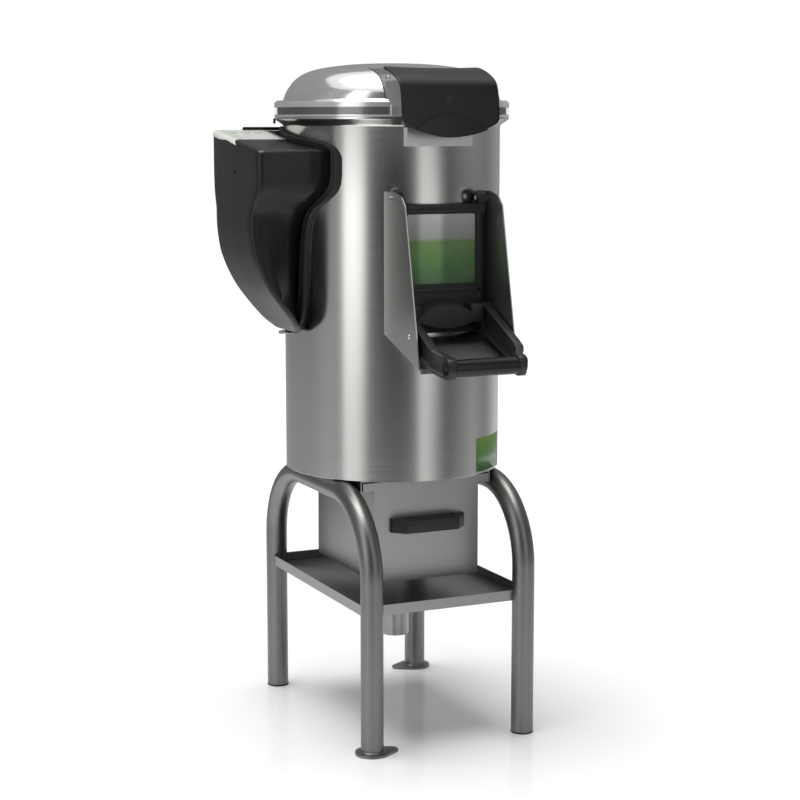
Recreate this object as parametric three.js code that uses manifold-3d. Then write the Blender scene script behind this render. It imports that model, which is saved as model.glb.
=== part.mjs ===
// Electric potato peeler on a tubular stand: an upright stainless drum with a turning abrasive disc,
// a hinged clear lid, a discharge door over a chute, a control housing, and a filter drawer under it.
// Millimetres, +Z up, front towards -Y. Pieces are laid out about the drum's axis, floor at z = 0,
// and the whole group is moved at the end so that its origin is the middle of its footprint.
import * as THREE from 'three';
import { mergeVertices } from 'three/addons/utils/BufferGeometryUtils.js';
import Module from 'manifold-3d';

const wasm = await Module();
wasm.setup();

// Fits shared by all the pieces
const gap = 0.3; // clearance where two pieces touch
const overrun = 6; // how far a cutter passes the wall that it cuts
const weldMerge = 0.001; // vertices closer than this are one vertex
const turnSides = 48; // sides of the drum and the lid
const wheelSides = 24; // sides of pulleys, bearings and the motor
const rodSides = 14; // sides of tubes, pins and shafts

// Stand: two bent tubes, each with two legs, and a crossbar between them at the back
const standHeight = 465.2;
const tubeRadius = 20;
const tubeWall = 2;
const tubeSpread = 148; // from the middle to the plane of each tube
const legSpread = 228.6; // from the middle of the stand to each leg
const standSetback = -13; // the stand's middle lies this far from the drum's axis, towards the front
const bendRadius = 140;
const bendSteps = 5;
const flangeThickness = 5;
const flangeRadius = 30;
const flangeLugRadius = 11.5;
const flangeLugReach = 37;
const flangeHoleRadius = 4.5;
const capThickness = 3;
const capLip = 0.6;
const crossbarDepth = 18;
const crossbarHeight = 22;
const crossbarDrop = 12; // below the top of the tubes
const crossbarInset = 77.6; // from the rear legs
const crossbarBack = legSpread - crossbarInset;

// Drip pan between the legs, its four faces falling to a drain pipe
const panTop = 263;
const panOverhang = 12.8; // past the planes of the tubes
const panInset = 3.4; // inside the middles of the legs
const panHalfWidth = tubeSpread + panOverhang;
const panHalfDepth = legSpread - panInset;
const panRimHeight = 18.5;
const panSheet = 2;
const panWellDepth = 34; // from the rim's top to the well's sheet
const panWellHalfSize = 34;
const panWellTop = panTop - panWellDepth;
const drainRadius = 25;
const drainLength = 84.5;

// Drum: rolled shell with a flared top edge, bottom plate, chamber floor and lining
const drumBottom = standHeight + gap;
const drumHeight = 634.4;
const drumTop = drumBottom + drumHeight;
const drumRadius = 195.6;
const drumWall = 2;
const flareOut = 15.9;
const flareRise = 11.5;
const flareLip = 3.4;
const flareRadius = drumRadius + flareOut;
const flareEdge = drumTop - flareLip;
const flareStart = flareEdge - flareRise;
const shellInner = drumRadius - drumWall;
const shellFit = shellInner - gap;
const baseSheet = 3;
const motorRoom = 234.5; // from the drum's bottom edge to the chamber floor
const chamberFloorZ = drumBottom + motorRoom;
const chamberFloorSheet = 3;
const liningThickness = 5;
const liningHeadroom = 114.9; // below the drum's edge
const wastePipeRadius = 27;
const wastePipeWall = 2;
const wastePipeInset = 48.3; // from the shell to the pipe
const wastePipeY = -(shellFit - wastePipeInset - wastePipeRadius);
const wastePipeDrop = 2; // below the drum's bottom edge

// Drive under the chamber: motor, belt, pulleys and the spindle in its bearings
const spindleRadius = 15;
const spindleTail = 4; // below the driven pulley
const spindleSleeveRadius = 35;
const spindleSleeveLength = 104; // below the chamber floor
const spindleSleeveRise = 9; // above the chamber floor's sheet
const spindleFlangeWidth = 18;
const spindleFlangeThickness = 7;
const bearingRadius = 26;
const bearingHeight = 14;
const bearingInset = 6;
const pulleyRise = 22.5; // above the drum's bottom edge
const pulleyBottom = drumBottom + pulleyRise;
const pulleyHeight = 20;
const pulleyFlange = 7; // height of each rim beside the groove
const pulleyRoom = 21; // from the driven pulley to the waste pipe
const drivenPulleyRadius = -wastePipeY - wastePipeRadius - pulleyRoom;
const motorPulleyRadius = 24;
const grooveDepth = 7;
const beltThickness = 5.5;
const beltSides = 28;
const motorInset = 13.3; // from the shell to the motor
const motorRoomAtSleeve = 21; // from the motor to the spindle's sleeve
const motorRadius = (shellFit - motorInset - spindleSleeveRadius - motorRoomAtSleeve) / 2;
const motorY = shellFit - motorInset - motorRadius;
const motorHeadroom = 27.7; // below the chamber floor
const motorShaftRadius = 9.5;
const motorShaftInside = 42; // length of shaft inside the motor
const shelfRoom = 4; // above the pulleys
const shelfZ = pulleyBottom + pulleyHeight + shelfRoom;
const shelfSheet = 6;
const shelfHoleRadius = 22;
const shelfLand = 18; // sheet between the spindle's hole and the shelf's front edge

const discRoom = 2; // above the spindle's sleeve
const discBottom = chamberFloorZ + chamberFloorSheet + spindleSleeveRise + discRoom;
const discThickness = 7;
const discEdgeRoom = 6.3; // from the lining
const discRadius = shellFit - liningThickness - discEdgeRoom;
const discHubRadius = 27;
const discHubHeight = 13;
const discWaveRadius = 8;
const discWaveInner = 40;
const discWaveInset = 17; // from the disc's edge
const discWaves = 3;
const nutRadius = 22;
const nutHeight = 22;
const nutCap = 9;
const nutGrip = 11; // length of spindle inside the nut
const spindleTop = discBottom + discHubHeight + nutGrip;

// Filter drawer on two channel rails under the drum
const railSheet = 2;
const railHeight = 20;
const railLipWidth = 19;
const railOuterX = tubeSpread - tubeRadius - gap;
const railTop = drumBottom - gap;
const runnerBottom = railTop - railHeight + railSheet + gap;
const drawerSheet = 2;
const drawerSideRoom = 6.2; // between the box and the rails' lips
const drawerHalfWidth = railOuterX - railLipWidth - drawerSideRoom;
const drawerBackRoom = 8; // in front of the crossbar
const drawerLength = 262;
const drawerBackY = standSetback + crossbarBack - crossbarDepth - drawerBackRoom;
const drawerFrontY = drawerBackY - drawerLength;
const drawerPanRoom = 18; // above the pan's rim
const drawerBottom = panTop + drawerPanRoom;
const drawerTopRoom = 6.2; // below the rails' top
const drawerTop = railTop - drawerTopRoom;
const drawerFrontThickness = 2;
const drawerFrontLap = 0.5; // beyond the sides of the box
const drawerFrontDrop = 2; // below the bottom of the box
const drawerEarInset = 3.7; // inside the rails' outer faces
const drawerEarHalfWidth = railOuterX - drawerEarInset;
const drawerEarRise = 2; // above the box
const drawerEarDrop = 0.5; // below the runners
const drawerEarTop = drawerTop + drawerEarRise;
const drawerEarBottom = runnerBottom - drawerEarDrop;
const drawerOutletRadius = 30;
const drawerOutletY = -18;
const screenHeight = 16;
const screenInset = 6;
const screenSlots = 9;
const screenRows = 3;
const screenEndBorder = 14;
const screenSideBorder = 18;
const screenSlotWidth = 8;
const screenRowGap = 18;
const pullHalfWidth = 71.5;
const pullDrop = 64.5; // from the top of the box to the handle's top
const pullHeight = 25;
const pullReach = 28;
const pullFoot = 19;
const pullBend = 20;
const pullBar = 13;

// Discharge door, its collar, and the chute between two cheek plates
const doorSill = 40; // from the chamber floor to the opening
const doorHeadroom = 173.9; // from the opening to the drum's edge
const doorOpeningHalfWidth = 68;
const doorOpeningBottom = chamberFloorZ + doorSill;
const doorOpeningTop = drumTop - doorHeadroom;
const collarSide = 16; // widths of the collar round the opening
const collarFoot = 12;
const collarHead = 20;
const collarStand = 1.9; // in front of the shell
const collarLip = 2; // the collar's opening is this much wider than the hole in the shell
const collarHalfWidth = doorOpeningHalfWidth + collarSide;
const collarBottom = doorOpeningBottom - collarFoot;
const collarTop = doorOpeningTop + collarHead;
const collarFrontY = -drumRadius - collarStand;

const doorThickness = 7.2;
const doorBackY = collarFrontY - gap;
const doorFrontY = doorBackY - doorThickness;
const doorSideInset = 5; // inside the collar's sides
const doorHalfWidth = collarHalfWidth - doorSideInset;
const doorHeadRise = 5; // above the collar
const doorTop = collarTop + doorHeadRise;
const doorFootDrop = 1; // below the collar
const doorBottom = collarBottom - doorFootDrop;
const doorSideRise = 23; // its curved lower edge rises this far at the sides
const doorCorner = 6;
const doorPlugInset = 2; // from the hole's edge to the plug behind the leaf
const doorPlugDepth = 7;
const doorHingeInset = 0.5; // behind the collar's front
const doorHingeRise = 10; // above the leaf
const doorHingeY = collarFrontY + doorHingeInset;
const doorHingeZ = doorTop + doorHingeRise;
const doorEarRadius = 12;
const doorEarWidth = 14;
const doorEarRoom = 5; // from the ear to the cheek plate
const doorEarDrop = 16; // the ears' webs reach this far down the leaf
const doorPinRadius = 4;
const doorPinHeadRadius = 5.5;
const doorPinHead = 2.2;
const doorPinInside = 2; // past the ear

const cheekRoom = 7; // from the collar to the cheek plate
const cheekSheet = 2;
const cheekInnerX = collarHalfWidth + cheekRoom;
const cheekOuterX = cheekInnerX + cheekSheet;
const cheekTopRise = 12; // above the door's hinge
const cheekTop = doorHingeZ + cheekTopRise;
const cheekTopReach = 20; // how far the top edge stands out from the drum
const cheekCornerReach = 61.4;
const cheekCornerDrop = 22;
const cheekShoulderReach = 108;
const cheekReach = 118.4;
const cheekShoulderRise = 56; // height of the steeper front edge over the tip
const cheekTipDrop = 48; // below the collar
const cheekRootDepth = 24.6; // where the sloping lower edge starts, behind the drum's front
const cheekRootDrop = 0.5;
const cheekFrontY = -drumRadius - cheekReach;
const cheekFrontBottom = collarBottom - cheekTipDrop;
const chuteSheet = 2;
const chuteLip = 6;

// The hooded grip on the door, and the stirrup handle: two arms and a round bar
const gripDepth = 30;
const gripBackHalfWidth = 72;
const gripLift = 1; // above the leaf's lower edge
const gripHeight = 59;
const gripSideRise = 26;
const gripFrontInset = 12;
const gripFrontTopDrop = 7;
const gripFrontLift = 12;
const gripSteps = 9;
const lugInset = 24; // how far the lug reaches in from the arm
const lugReach = 25;
const lugLift = 20;
const lugHeight = 32;

const armThickness = 15;
const armRoom = 4; // between the arm and the cheek plate
const armOuterX = cheekInnerX - armRoom;
const armInnerX = armOuterX - armThickness;
const armToeIn = 14; // how much nearer the arms come to each other at the bar
const armBackReach = 12; // distances in front of the door's leaf
const armBellyReach = 95;
const armKneeReach = 128;
const barReach = 170;
const armTurnRoom = 40; // the arms start to turn in this far behind the bar
const armBackLift = 1; // heights above and below the leaf's lower edge
const armBackHeight = 53;
const armBellyDrop = 28;
const armKneeDrop = 2;
const barDrop = 38.5;
const barRadius = 15;
const bossRadius = 17.5;

const labelSideInset = 9;
const labelTopInset = 18;
const labelRoom = 24; // above the grip
const labelThickness = 0.6;
const labelCorner = 6;

// Lid: clear dome with a rim and a nose that carries the handle plate, hinged at the back
const lidSeat = 0.4; // above the drum's edge
const lidRimBottom = drumTop + lidSeat;
const lidRimRadius = flareRadius + gap;
const lidRimWall = 4;
const lidRimHeight = 24.7;
const lidRimTop = lidRimBottom + lidRimHeight;
const lidShoulder = 2.8;
const lidShoulderRise = 4;
const lidFlangeRise = 0.5;
const lidFlangeRadius = lidRimRadius - lidShoulder;
const lidFlangeTop = lidRimTop + lidShoulderRise;
const lidFlangeWidth = 13;
const lidDomeRadius = lidFlangeRadius - lidFlangeWidth;
const lidDomeBase = lidFlangeTop + lidFlangeRise;
const lidDomeHeight = 66.5;
const lidTop = lidDomeBase + lidDomeHeight;
const lidWall = 3;
const lidGasketInset = 0.5;
const lidGasketHeight = 21.2;
const domeShares = [[1, 0], [0.95, 0.32], [0.89, 0.56], [0.8, 0.735], [0.655, 0.84], [0.38, 0.945],
  [0, 1]]; // outline of the dome: radius, height

const plateReach = 33.2; // in front of the lid's rim
const plateDepth = 83;
const plateFrontY = -lidRimRadius - plateReach;
const plateTopBackY = plateFrontY + plateDepth;
const plateThickness = 3.5;
const plateHalfWidth = 92;
const plateDrop = 35.3; // below the lid's rim
const plateHeight = 121;
const plateBottom = lidRimBottom - plateDrop;
const plateTop = plateBottom + plateHeight;
const plateCornerRise = 21;
const plateCornerInset = 10;
const plateBowShares = [[1, 0], [1, 0.3], [0.976, 0.46], [0.92, 0.67], [0.78, 0.8], [0.4, 0.915],
  [0, 1]]; // side outline from the bottom up: how far forward, how high
const plateTopHollow = 12; // how far the top edge is hollowed in the middle
const noseSideInset = 1;
const noseWall = 3;
const noseDepth = 149;
const noseHalfWidth = plateHalfWidth - noseSideInset;
const noseBackY = plateFrontY + noseDepth;
const lensSideInset = 26;
const lensSideRise = 17;
const lensHeight = 39;
const lensRaise = 4;

const hingeReach = 16.5; // behind the drum's flared edge
const hingeRise = 22.7; // above the lid's lower edge
const hingeY = flareRadius + hingeReach;
const hingeZ = lidRimBottom + hingeRise;
const hingePinRadius = 5;
const hingePinOverhang = 2;
const hingeKnuckleRadius = 10;
const hingeLeafHalfWidth = 26;
const hingeLeafLap = 11; // over the lid's shoulder
const hingeLeafThickness = 3.2;
const hingeEarGap = 1;
const hingeEarThickness = 6;
const hingeEarRadius = 11;
const hingeEarDepth = 11; // in front of the pin
const hingeEarShoulder = 35; // below the pin
const hingeFootDrop = 43;
const hingeFootHeight = 65;
const hingeFootDepth = 8;

const interlockAngle = 118; // degrees from the front towards +X
const interlockDepth = 7.2;
const interlockLift = 0.7; // above the lid's lower edge
const interlockHeight = 23;
const interlockHalfWidth = 20;
const switchDepth = 21.4;
const switchHalfWidth = 15;
const switchHeight = 36;
const switchRoom = 2.3; // below the lid's lower edge

const catchHalfWidth = 62;
const catchDepth = 5.4; // in front of the shell
const catchSheet = 2;
const catchHeight = 32;
const catchRoom = 3; // below the flare

// Control housing on the left of the drum, its band seal, and what it carries
const housingDepth = 106.4; // out from the drum
const housingReach = drumRadius + housingDepth;
const housingTopDrop = 39.4; // from the drum's edge to the sloping top, at its middle
const housingTopZ = drumTop - housingTopDrop;
const housingTopRise = 8.15; // degrees, higher at the back
const housingHeight = 336.5;
const housingBottom = housingTopZ - housingHeight;
const housingCrownRise = 34.5; // the highest that the sloping top can reach
const housingCrown = housingTopZ + housingCrownRise;
const housingHalfWidth = 118;
const housingSeamInset = 4; // narrower by this where it meets the drum
const housingRootDepth = 4; // how far inside the shell its sides meet the seam's width
const housingWall = 3;
const housingCorner = 10;
const sealThickness = 8;
const sealOutside = 9;
const sealInside = 6;
const housingShares = [ // height, reach, half width outside, half width at the drum
  [0, 0.7, 0.42, 0.06], [0.019, 0.72, 0.54, 0.17], [0.038, 0.74, 0.64, 0.23], [0.07, 0.77, 0.725, 0.3],
  [0.124, 0.824, 0.76, 0.36], [0.205, 0.9, 0.757, 0.41], [0.286, 0.955, 0.757, 0.43],
  [0.367, 0.993, 0.765, 0.45], [0.434, 1.008, 0.772, 0.475], [0.488, 1.016, 0.772, 0.51],
  [0.542, 1.018, 0.775, 0.573], [0.582, 1.015, 0.8, 0.645], [0.623, 1.01, 0.875, 0.765],
  [0.663, 1.004, 0.95, 0.88], [0.704, 1, 0.99, 0.967], [0.75, 1, 1, 1], [1, 1, 1, 1]];

const panelBackInset = 6; // from the housing's rear edge
const panelOuterInset = 4;
const panelDepth = 104;
const panelWidth = 86;
const panelThickness = 1.2;
const panelCorner = 8;
const buttonRadius = 9;
const buttonDepth = 4.6; // below the top face of the housing
const buttonStand = 2.1; // above the top face of the housing
const buttonEdge = 20; // from the panel's outer side
const buttonPitch = 23;
const buttonBack = 30; // from the panel's rear side

const contactorHalfDepth = 34;
const contactorDrop = 75.5; // below the sloping top
const contactorHeight = 80;
const contactorRoom = 45.1; // from the drum

const glandOut = 54.4; // from the drum
const glandDrop = 55.5; // below the sloping top
const glandRadius = 12;
const glandThreadRadius = 8;
const glandBoreRadius = 4;
const glandLength = 20;
const glandInside = 12;

const inletAngle = 45; // degrees from the back towards +X
const inletDrop = 55; // below the drum's edge
const inletPipeRadius = 9;
const inletBoreRadius = 6;
const inletInside = 9.6;
const inletOutside = 40.4;
const inletNutRadius = 15;
const inletNutSeat = 0.6;
const inletNutHeight = 9;

// Finishes
const finish = (color, roughness, metalness, extra = {}) =>
  new THREE.MeshStandardMaterial({ color, roughness, metalness, ...extra });
const brushedSteel = finish(0xb9b9b6, 0.34, 1);
const satinTube = finish(0x8f8f8c, 0.42, 1);
const blackPlastic = finish(0x2b2c2e, 0.48, 0);
const blackRubber = finish(0x1b1b1c, 0.8, 0);
const clearPlastic = finish(0xdfe3e2, 0.08, 0, { transparent: true, opacity: 0.45 });
const greyPlastic = finish(0xb9bbbc, 0.4, 0);
const greenLabel = finish(0x5e9b4a, 0.5, 0);
const greenButton = finish(0x2f8f3a, 0.45, 0);
const redButton = finish(0xb3221f, 0.45, 0);
const whiteButton = finish(0xe6e6e2, 0.45, 0);
const castAluminium = finish(0xa7a9aa, 0.55, 1);
const abrasive = finish(0x3e4146, 0.95, 0);
const motorPaint = finish(0x5a6066, 0.6, 0);

// Solids from three.js geometries, cut and joined
function solid(geometry) {
  const bare = geometry.clone();
  bare.deleteAttribute('normal');
  bare.deleteAttribute('uv');
  const merged = mergeVertices(bare, weldMerge);
  const corners = merged.index.array;
  const kept = [];
  for (let i = 0; i < corners.length; i += 3) {
    const [a, b, c] = [corners[i], corners[i + 1], corners[i + 2]];
    if (a !== b && b !== c && c !== a) kept.push(a, b, c);
  }
  return new wasm.Manifold(new wasm.Mesh({
    numProp: 3,
    vertProperties: new Float32Array(merged.attributes.position.array),
    triVerts: new Uint32Array(kept),
  }));
}

function geometryOf(body) {
  const mesh = body.getMesh();
  const geometry = new THREE.BufferGeometry();
  geometry.setAttribute('position', new THREE.BufferAttribute(new Float32Array(mesh.vertProperties), 3));
  geometry.setIndex(new THREE.BufferAttribute(new Uint32Array(mesh.triVerts), 1));
  geometry.computeVertexNormals();
  return geometry;
}

const join = (first, ...others) => others.reduce((body, other) => body.add(other), first);
const cut = (first, ...others) => others.reduce((body, other) => body.subtract(other), first);

// A profile of [radius, z] points turned about the vertical axis
function turned(profile, sides = turnSides) {
  const points = profile.map(([radius, z]) => new THREE.Vector2(radius, z));
  const closed = profile[0][0] === 0 && profile[profile.length - 1][0] === 0;
  if (!closed) points.push(points[0].clone());
  return new THREE.LatheGeometry(points, sides).rotateX(Math.PI / 2);
}

const disc = (radius, bottom, top, sides = rodSides) =>
  turned([[0, bottom], [radius, bottom], [radius, top], [0, top]], sides);
const ring = (inner, outer, bottom, top, sides = rodSides) =>
  turned([[inner, bottom], [outer, bottom], [outer, top], [inner, top]], sides);

// Flat outlines, extruded along one of the axes
const outline = (points) => new THREE.Shape(points.map(([u, v]) => new THREE.Vector2(u, v)));
const arc = (u, v, radius, fromDegrees, toDegrees, steps) =>
  Array.from({ length: steps + 1 }, (_, i) => {
    const angle = THREE.MathUtils.degToRad(fromDegrees + ((toDegrees - fromDegrees) * i) / steps);
    return [u + radius * Math.cos(angle), v + radius * Math.sin(angle)];
  });
const circle = (u, v, radius, sides = rodSides) =>
  outline(arc(u, v, radius, 0, 360, sides).slice(0, sides));
const rectangle = (u0, u1, v0, v1) => outline([[u0, v0], [u1, v0], [u1, v1], [u0, v1]]);
const roundedRectangle = (u0, u1, v0, v1, radius, steps = 3) => outline([
  ...arc(u0 + radius, v0 + radius, radius, 180, 270, steps),
  ...arc(u1 - radius, v0 + radius, radius, 270, 360, steps),
  ...arc(u1 - radius, v1 - radius, radius, 0, 90, steps),
  ...arc(u0 + radius, v1 - radius, radius, 90, 180, steps)]);

const alongZ = (shape, from, to) =>
  new THREE.ExtrudeGeometry(shape, { depth: to - from, bevelEnabled: false }).translate(0, 0, from);
const alongY = (shape, from, to) => // the outline is drawn in x and z
  new THREE.ExtrudeGeometry(shape, { depth: to - from, bevelEnabled: false })
    .rotateX(Math.PI / 2).translate(0, to, 0);
const alongX = (shape, from, to) => // the outline is drawn in y and z
  new THREE.ExtrudeGeometry(shape, { depth: to - from, bevelEnabled: false })
    .applyMatrix4(new THREE.Matrix4().makeBasis(
      new THREE.Vector3(0, 1, 0), new THREE.Vector3(0, 0, 1), new THREE.Vector3(1, 0, 0)))
    .translate(from, 0, 0);
const block = (x0, x1, y0, y1, z0, z1) => alongZ(rectangle(x0, x1, y0, y1), z0, z1);

// A skin over rings of points that have as many points each, closed flat at both ends
function loft(rings) {
  const count = rings[0].length;
  const points = rings.flat();
  const faces = [];
  for (let r = 0; r + 1 < rings.length; r += 1) {
    for (let i = 0; i < count; i += 1) {
      const a = r * count + i;
      const b = r * count + ((i + 1) % count);
      faces.push(a, b, b + count, a, b + count, a + count);
    }
  }
  const last = (rings.length - 1) * count;
  for (let i = 1; i + 1 < count; i += 1) {
    faces.push(0, i + 1, i);
    faces.push(last, last + i, last + i + 1);
  }
  const geometry = new THREE.BufferGeometry();
  geometry.setAttribute('position', new THREE.Float32BufferAttribute(points.flat(), 3));
  geometry.setIndex(faces);
  return geometry;
}

// A line of points moved sideways by a distance, to the left of its direction of travel
function offsetLine(points, distance) {
  return points.map((point, i) => {
    const [u0, v0] = points[Math.max(i - 1, 0)];
    const [u1, v1] = points[Math.min(i + 1, points.length - 1)];
    const length = Math.hypot(u1 - u0, v1 - v0);
    return [point[0] - (distance * (v1 - v0)) / length, point[1] + (distance * (u1 - u0)) / length];
  });
}

// A curved edge from one end to the other, rising or falling by a sagitta in its middle
const bow = (u0, v0, u1, v1, height, steps) => Array.from({ length: steps + 1 }, (_, i) => {
  const t = i / steps;
  return [u0 + (u1 - u0) * t, v0 + (v1 - v0) * t + 4 * height * t * (1 - t)];
});

// The object and its assemblies
const peeler = new THREE.Group();
const assembly = (parent = peeler) => {
  const group = new THREE.Group();
  parent.add(group);
  return group;
};
function piece(parent, name, shape, material) {
  const mesh = new THREE.Mesh(shape.isBufferGeometry ? shape : geometryOf(shape), material);
  mesh.name = name;
  parent.add(mesh);
  return mesh;
}
const sides = [['left', -1], ['right', 1]];

// Everything outside the drum is trimmed to this envelope, so that it hugs the shell and its flare
const envelope = (clearance) => solid(turned([
  [0, 0], [drumRadius + clearance, 0], [drumRadius + clearance, flareStart - clearance],
  [flareRadius + clearance, flareEdge - clearance],
  [flareRadius + clearance, drumTop + clearance], [0, drumTop + clearance]]));

// Stand
const stand = assembly();
stand.position.y = standSetback;

// The tube's centre line as [y, z, heading in degrees], up from one foot and down to the other
function bentTube(radius, footFront, footBack) {
  const crown = standHeight - tubeRadius;
  const bend = (y, from, to) => arc(y, crown - bendRadius, bendRadius, from, to, bendSteps)
    .map(([py, pz], i) => [py, pz, from - 90 + ((to - from) * i) / bendSteps]);
  const centreLine = [[-legSpread, footFront, 90], ...bend(-legSpread + bendRadius, 180, 90),
    ...bend(legSpread - bendRadius, 90, 0), [legSpread, footBack, -90]];
  return solid(loft(centreLine.map(([y, z, degrees]) => {
    const heading = THREE.MathUtils.degToRad(degrees);
    return arc(0, 0, radius, 0, 360, rodSides).slice(0, rodSides).map(([across, up]) =>
      [across, y + up * Math.sin(heading), z - up * Math.cos(heading)]);
  })));
}

const footBottoms = { // each tube stands on one flange and one cap
  left: { front: flangeThickness, back: capThickness },
  right: { front: capThickness, back: flangeThickness },
};
for (const [side, sign] of sides) {
  const { front, back } = footBottoms[side];
  const outer = bentTube(tubeRadius, front + gap, back + gap);
  const inner = bentTube(tubeRadius - tubeWall, front + gap - overrun, back + gap - overrun);
  const tube = piece(stand, `stand_tube_${side}`, cut(outer, inner), satinTube);
  tube.position.x = sign * tubeSpread;
}

function footFlange(name, sign, y) {
  const plate = solid(alongZ(outline([
    ...arc(0, 0, flangeRadius, 60, 300, 12),
    ...arc(flangeLugReach, 0, flangeLugRadius, 300, 420, 6)]), 0, flangeThickness));
  const hole = solid(disc(flangeHoleRadius, -overrun, flangeThickness + overrun))
    .translate([flangeLugReach, 0, 0]);
  const mesh = piece(stand, name, cut(plate, hole), satinTube);
  mesh.rotation.z = sign > 0 ? Math.PI : 0;
  mesh.position.set(sign * tubeSpread, y, 0);
}
footFlange('foot_flange_front_left', -1, -legSpread);
footFlange('foot_flange_back_right', 1, legSpread);
const footCap = (name, sign, y) => piece(stand, name,
  turned([[0, 0], [tubeRadius, 0], [tubeRadius + capLip, capLip], [tubeRadius + capLip, capThickness],
    [0, capThickness]], rodSides), blackPlastic).position.set(sign * tubeSpread, y, 0);
footCap('foot_cap_front_right', 1, -legSpread);
footCap('foot_cap_back_left', -1, legSpread);

const crossbarHalf = tubeSpread - tubeRadius - gap;
const crossbarTop = standHeight - crossbarDrop;
piece(stand, 'stand_crossbar', block(-crossbarHalf, crossbarHalf,
  crossbarBack - crossbarDepth, crossbarBack, crossbarTop - crossbarHeight, crossbarTop), satinTube);

const square = (half, depth, z) =>
  [[-half, -depth, z], [half, -depth, z], [half, depth, z], [-half, depth, z]];
const panSlope = (sheet) => loft([
  square(panWellHalfSize - sheet, panWellHalfSize - sheet, panWellTop - panSheet + sheet),
  square(panHalfWidth - sheet, panHalfDepth - sheet, panTop - panRimHeight + sheet),
  square(panHalfWidth - sheet, panHalfDepth - sheet, sheet ? panTop + overrun : panTop)]);
const legCutters = sides.flatMap(([, sx]) => sides.map(([, sy]) =>
  solid(alongZ(circle(sx * tubeSpread, sy * legSpread, tubeRadius + gap), 0, panTop + overrun))));
const drainBottom = panWellTop - drainLength;
piece(stand, 'drip_pan', cut(
  join(solid(panSlope(0)), solid(disc(drainRadius, drainBottom, panWellTop - panSheet / 2))),
  solid(panSlope(panSheet)),
  solid(disc(drainRadius - panSheet, drainBottom - overrun, panWellTop + overrun)),
  ...legCutters), satinTube);

// Drum
const drum = assembly();
const doorCutter = solid(alongY(rectangle(-doorOpeningHalfWidth, doorOpeningHalfWidth,
  doorOpeningBottom, doorOpeningTop), -drumRadius - overrun, -drumRadius / 2));

const inletZ = drumTop - inletDrop;
const radialRod = (radius, inner, outer, angleFromBack, z) => solid(disc(radius, inner, outer))
  .rotate([-90, 0, 0]).rotate([0, 0, -angleFromBack]).translate([0, 0, z]);
piece(drum, 'drum_shell', cut(
  solid(turned([[shellInner, drumBottom], [drumRadius, drumBottom], [drumRadius, flareStart],
    [flareRadius, flareEdge], [flareRadius, drumTop], [shellInner, drumTop]])),
  doorCutter,
  radialRod(inletPipeRadius + gap, drumRadius / 2, drumRadius + overrun, inletAngle, inletZ)), brushedSteel);

const wasteHole = solid(disc(wastePipeRadius + gap, 0, drumTop)).translate([0, wastePipeY, 0]);
piece(drum, 'drum_base', cut(
  solid(disc(shellFit, drumBottom, drumBottom + baseSheet, turnSides)), wasteHole), brushedSteel);
piece(drum, 'chamber_floor', cut(
  solid(ring(spindleSleeveRadius + gap, shellFit, chamberFloorZ, chamberFloorZ + chamberFloorSheet,
    turnSides)), wasteHole), brushedSteel);
const liningBottom = chamberFloorZ + chamberFloorSheet + gap;
piece(drum, 'abrasive_lining', cut(
  solid(ring(shellFit - liningThickness, shellFit, liningBottom, drumTop - liningHeadroom, turnSides)),
  doorCutter), abrasive);
piece(drum, 'waste_pipe', ring(wastePipeRadius - wastePipeWall, wastePipeRadius,
  drumBottom - wastePipeDrop, chamberFloorZ + chamberFloorSheet), greyPlastic).position.y = wastePipeY;

// Drive
const drive = assembly();
const sleeveBottom = chamberFloorZ - spindleSleeveLength;
const sleeveTop = chamberFloorZ + chamberFloorSheet + spindleSleeveRise;
const flangeTop = chamberFloorZ - gap;
const spindleFlangeRadius = spindleSleeveRadius + spindleFlangeWidth;
piece(drive, 'spindle_sleeve', turned([
  [bearingRadius, sleeveBottom], [spindleSleeveRadius, sleeveBottom],
  [spindleSleeveRadius, flangeTop - spindleFlangeThickness],
  [spindleFlangeRadius, flangeTop - spindleFlangeThickness], [spindleFlangeRadius, flangeTop],
  [spindleSleeveRadius, flangeTop], [spindleSleeveRadius, sleeveTop], [bearingRadius, sleeveTop]],
wheelSides), castAluminium);
for (const [name, bottom] of [['lower_bearing', sleeveBottom + bearingInset],
  ['upper_bearing', sleeveTop - bearingInset - bearingHeight]]) {
  piece(drive, name, ring(spindleRadius + gap, bearingRadius - gap, bottom, bottom + bearingHeight,
    wheelSides), satinTube);
}
piece(drive, 'spindle', disc(spindleRadius, pulleyBottom - spindleTail, spindleTop), satinTube);

const grooved = (bore, radius) => turned([
  [bore, pulleyBottom], [radius, pulleyBottom], [radius, pulleyBottom + pulleyFlange - gap],
  [radius - grooveDepth, pulleyBottom + pulleyFlange],
  [radius - grooveDepth, pulleyBottom + pulleyHeight - pulleyFlange],
  [radius, pulleyBottom + pulleyHeight - pulleyFlange + gap], [radius, pulleyBottom + pulleyHeight],
  [bore, pulleyBottom + pulleyHeight]], wheelSides);
piece(drive, 'driven_pulley', grooved(spindleRadius + gap, drivenPulleyRadius), castAluminium);
piece(drive, 'motor_pulley', grooved(motorShaftRadius + gap, motorPulleyRadius), castAluminium)
  .position.y = motorY;

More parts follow.
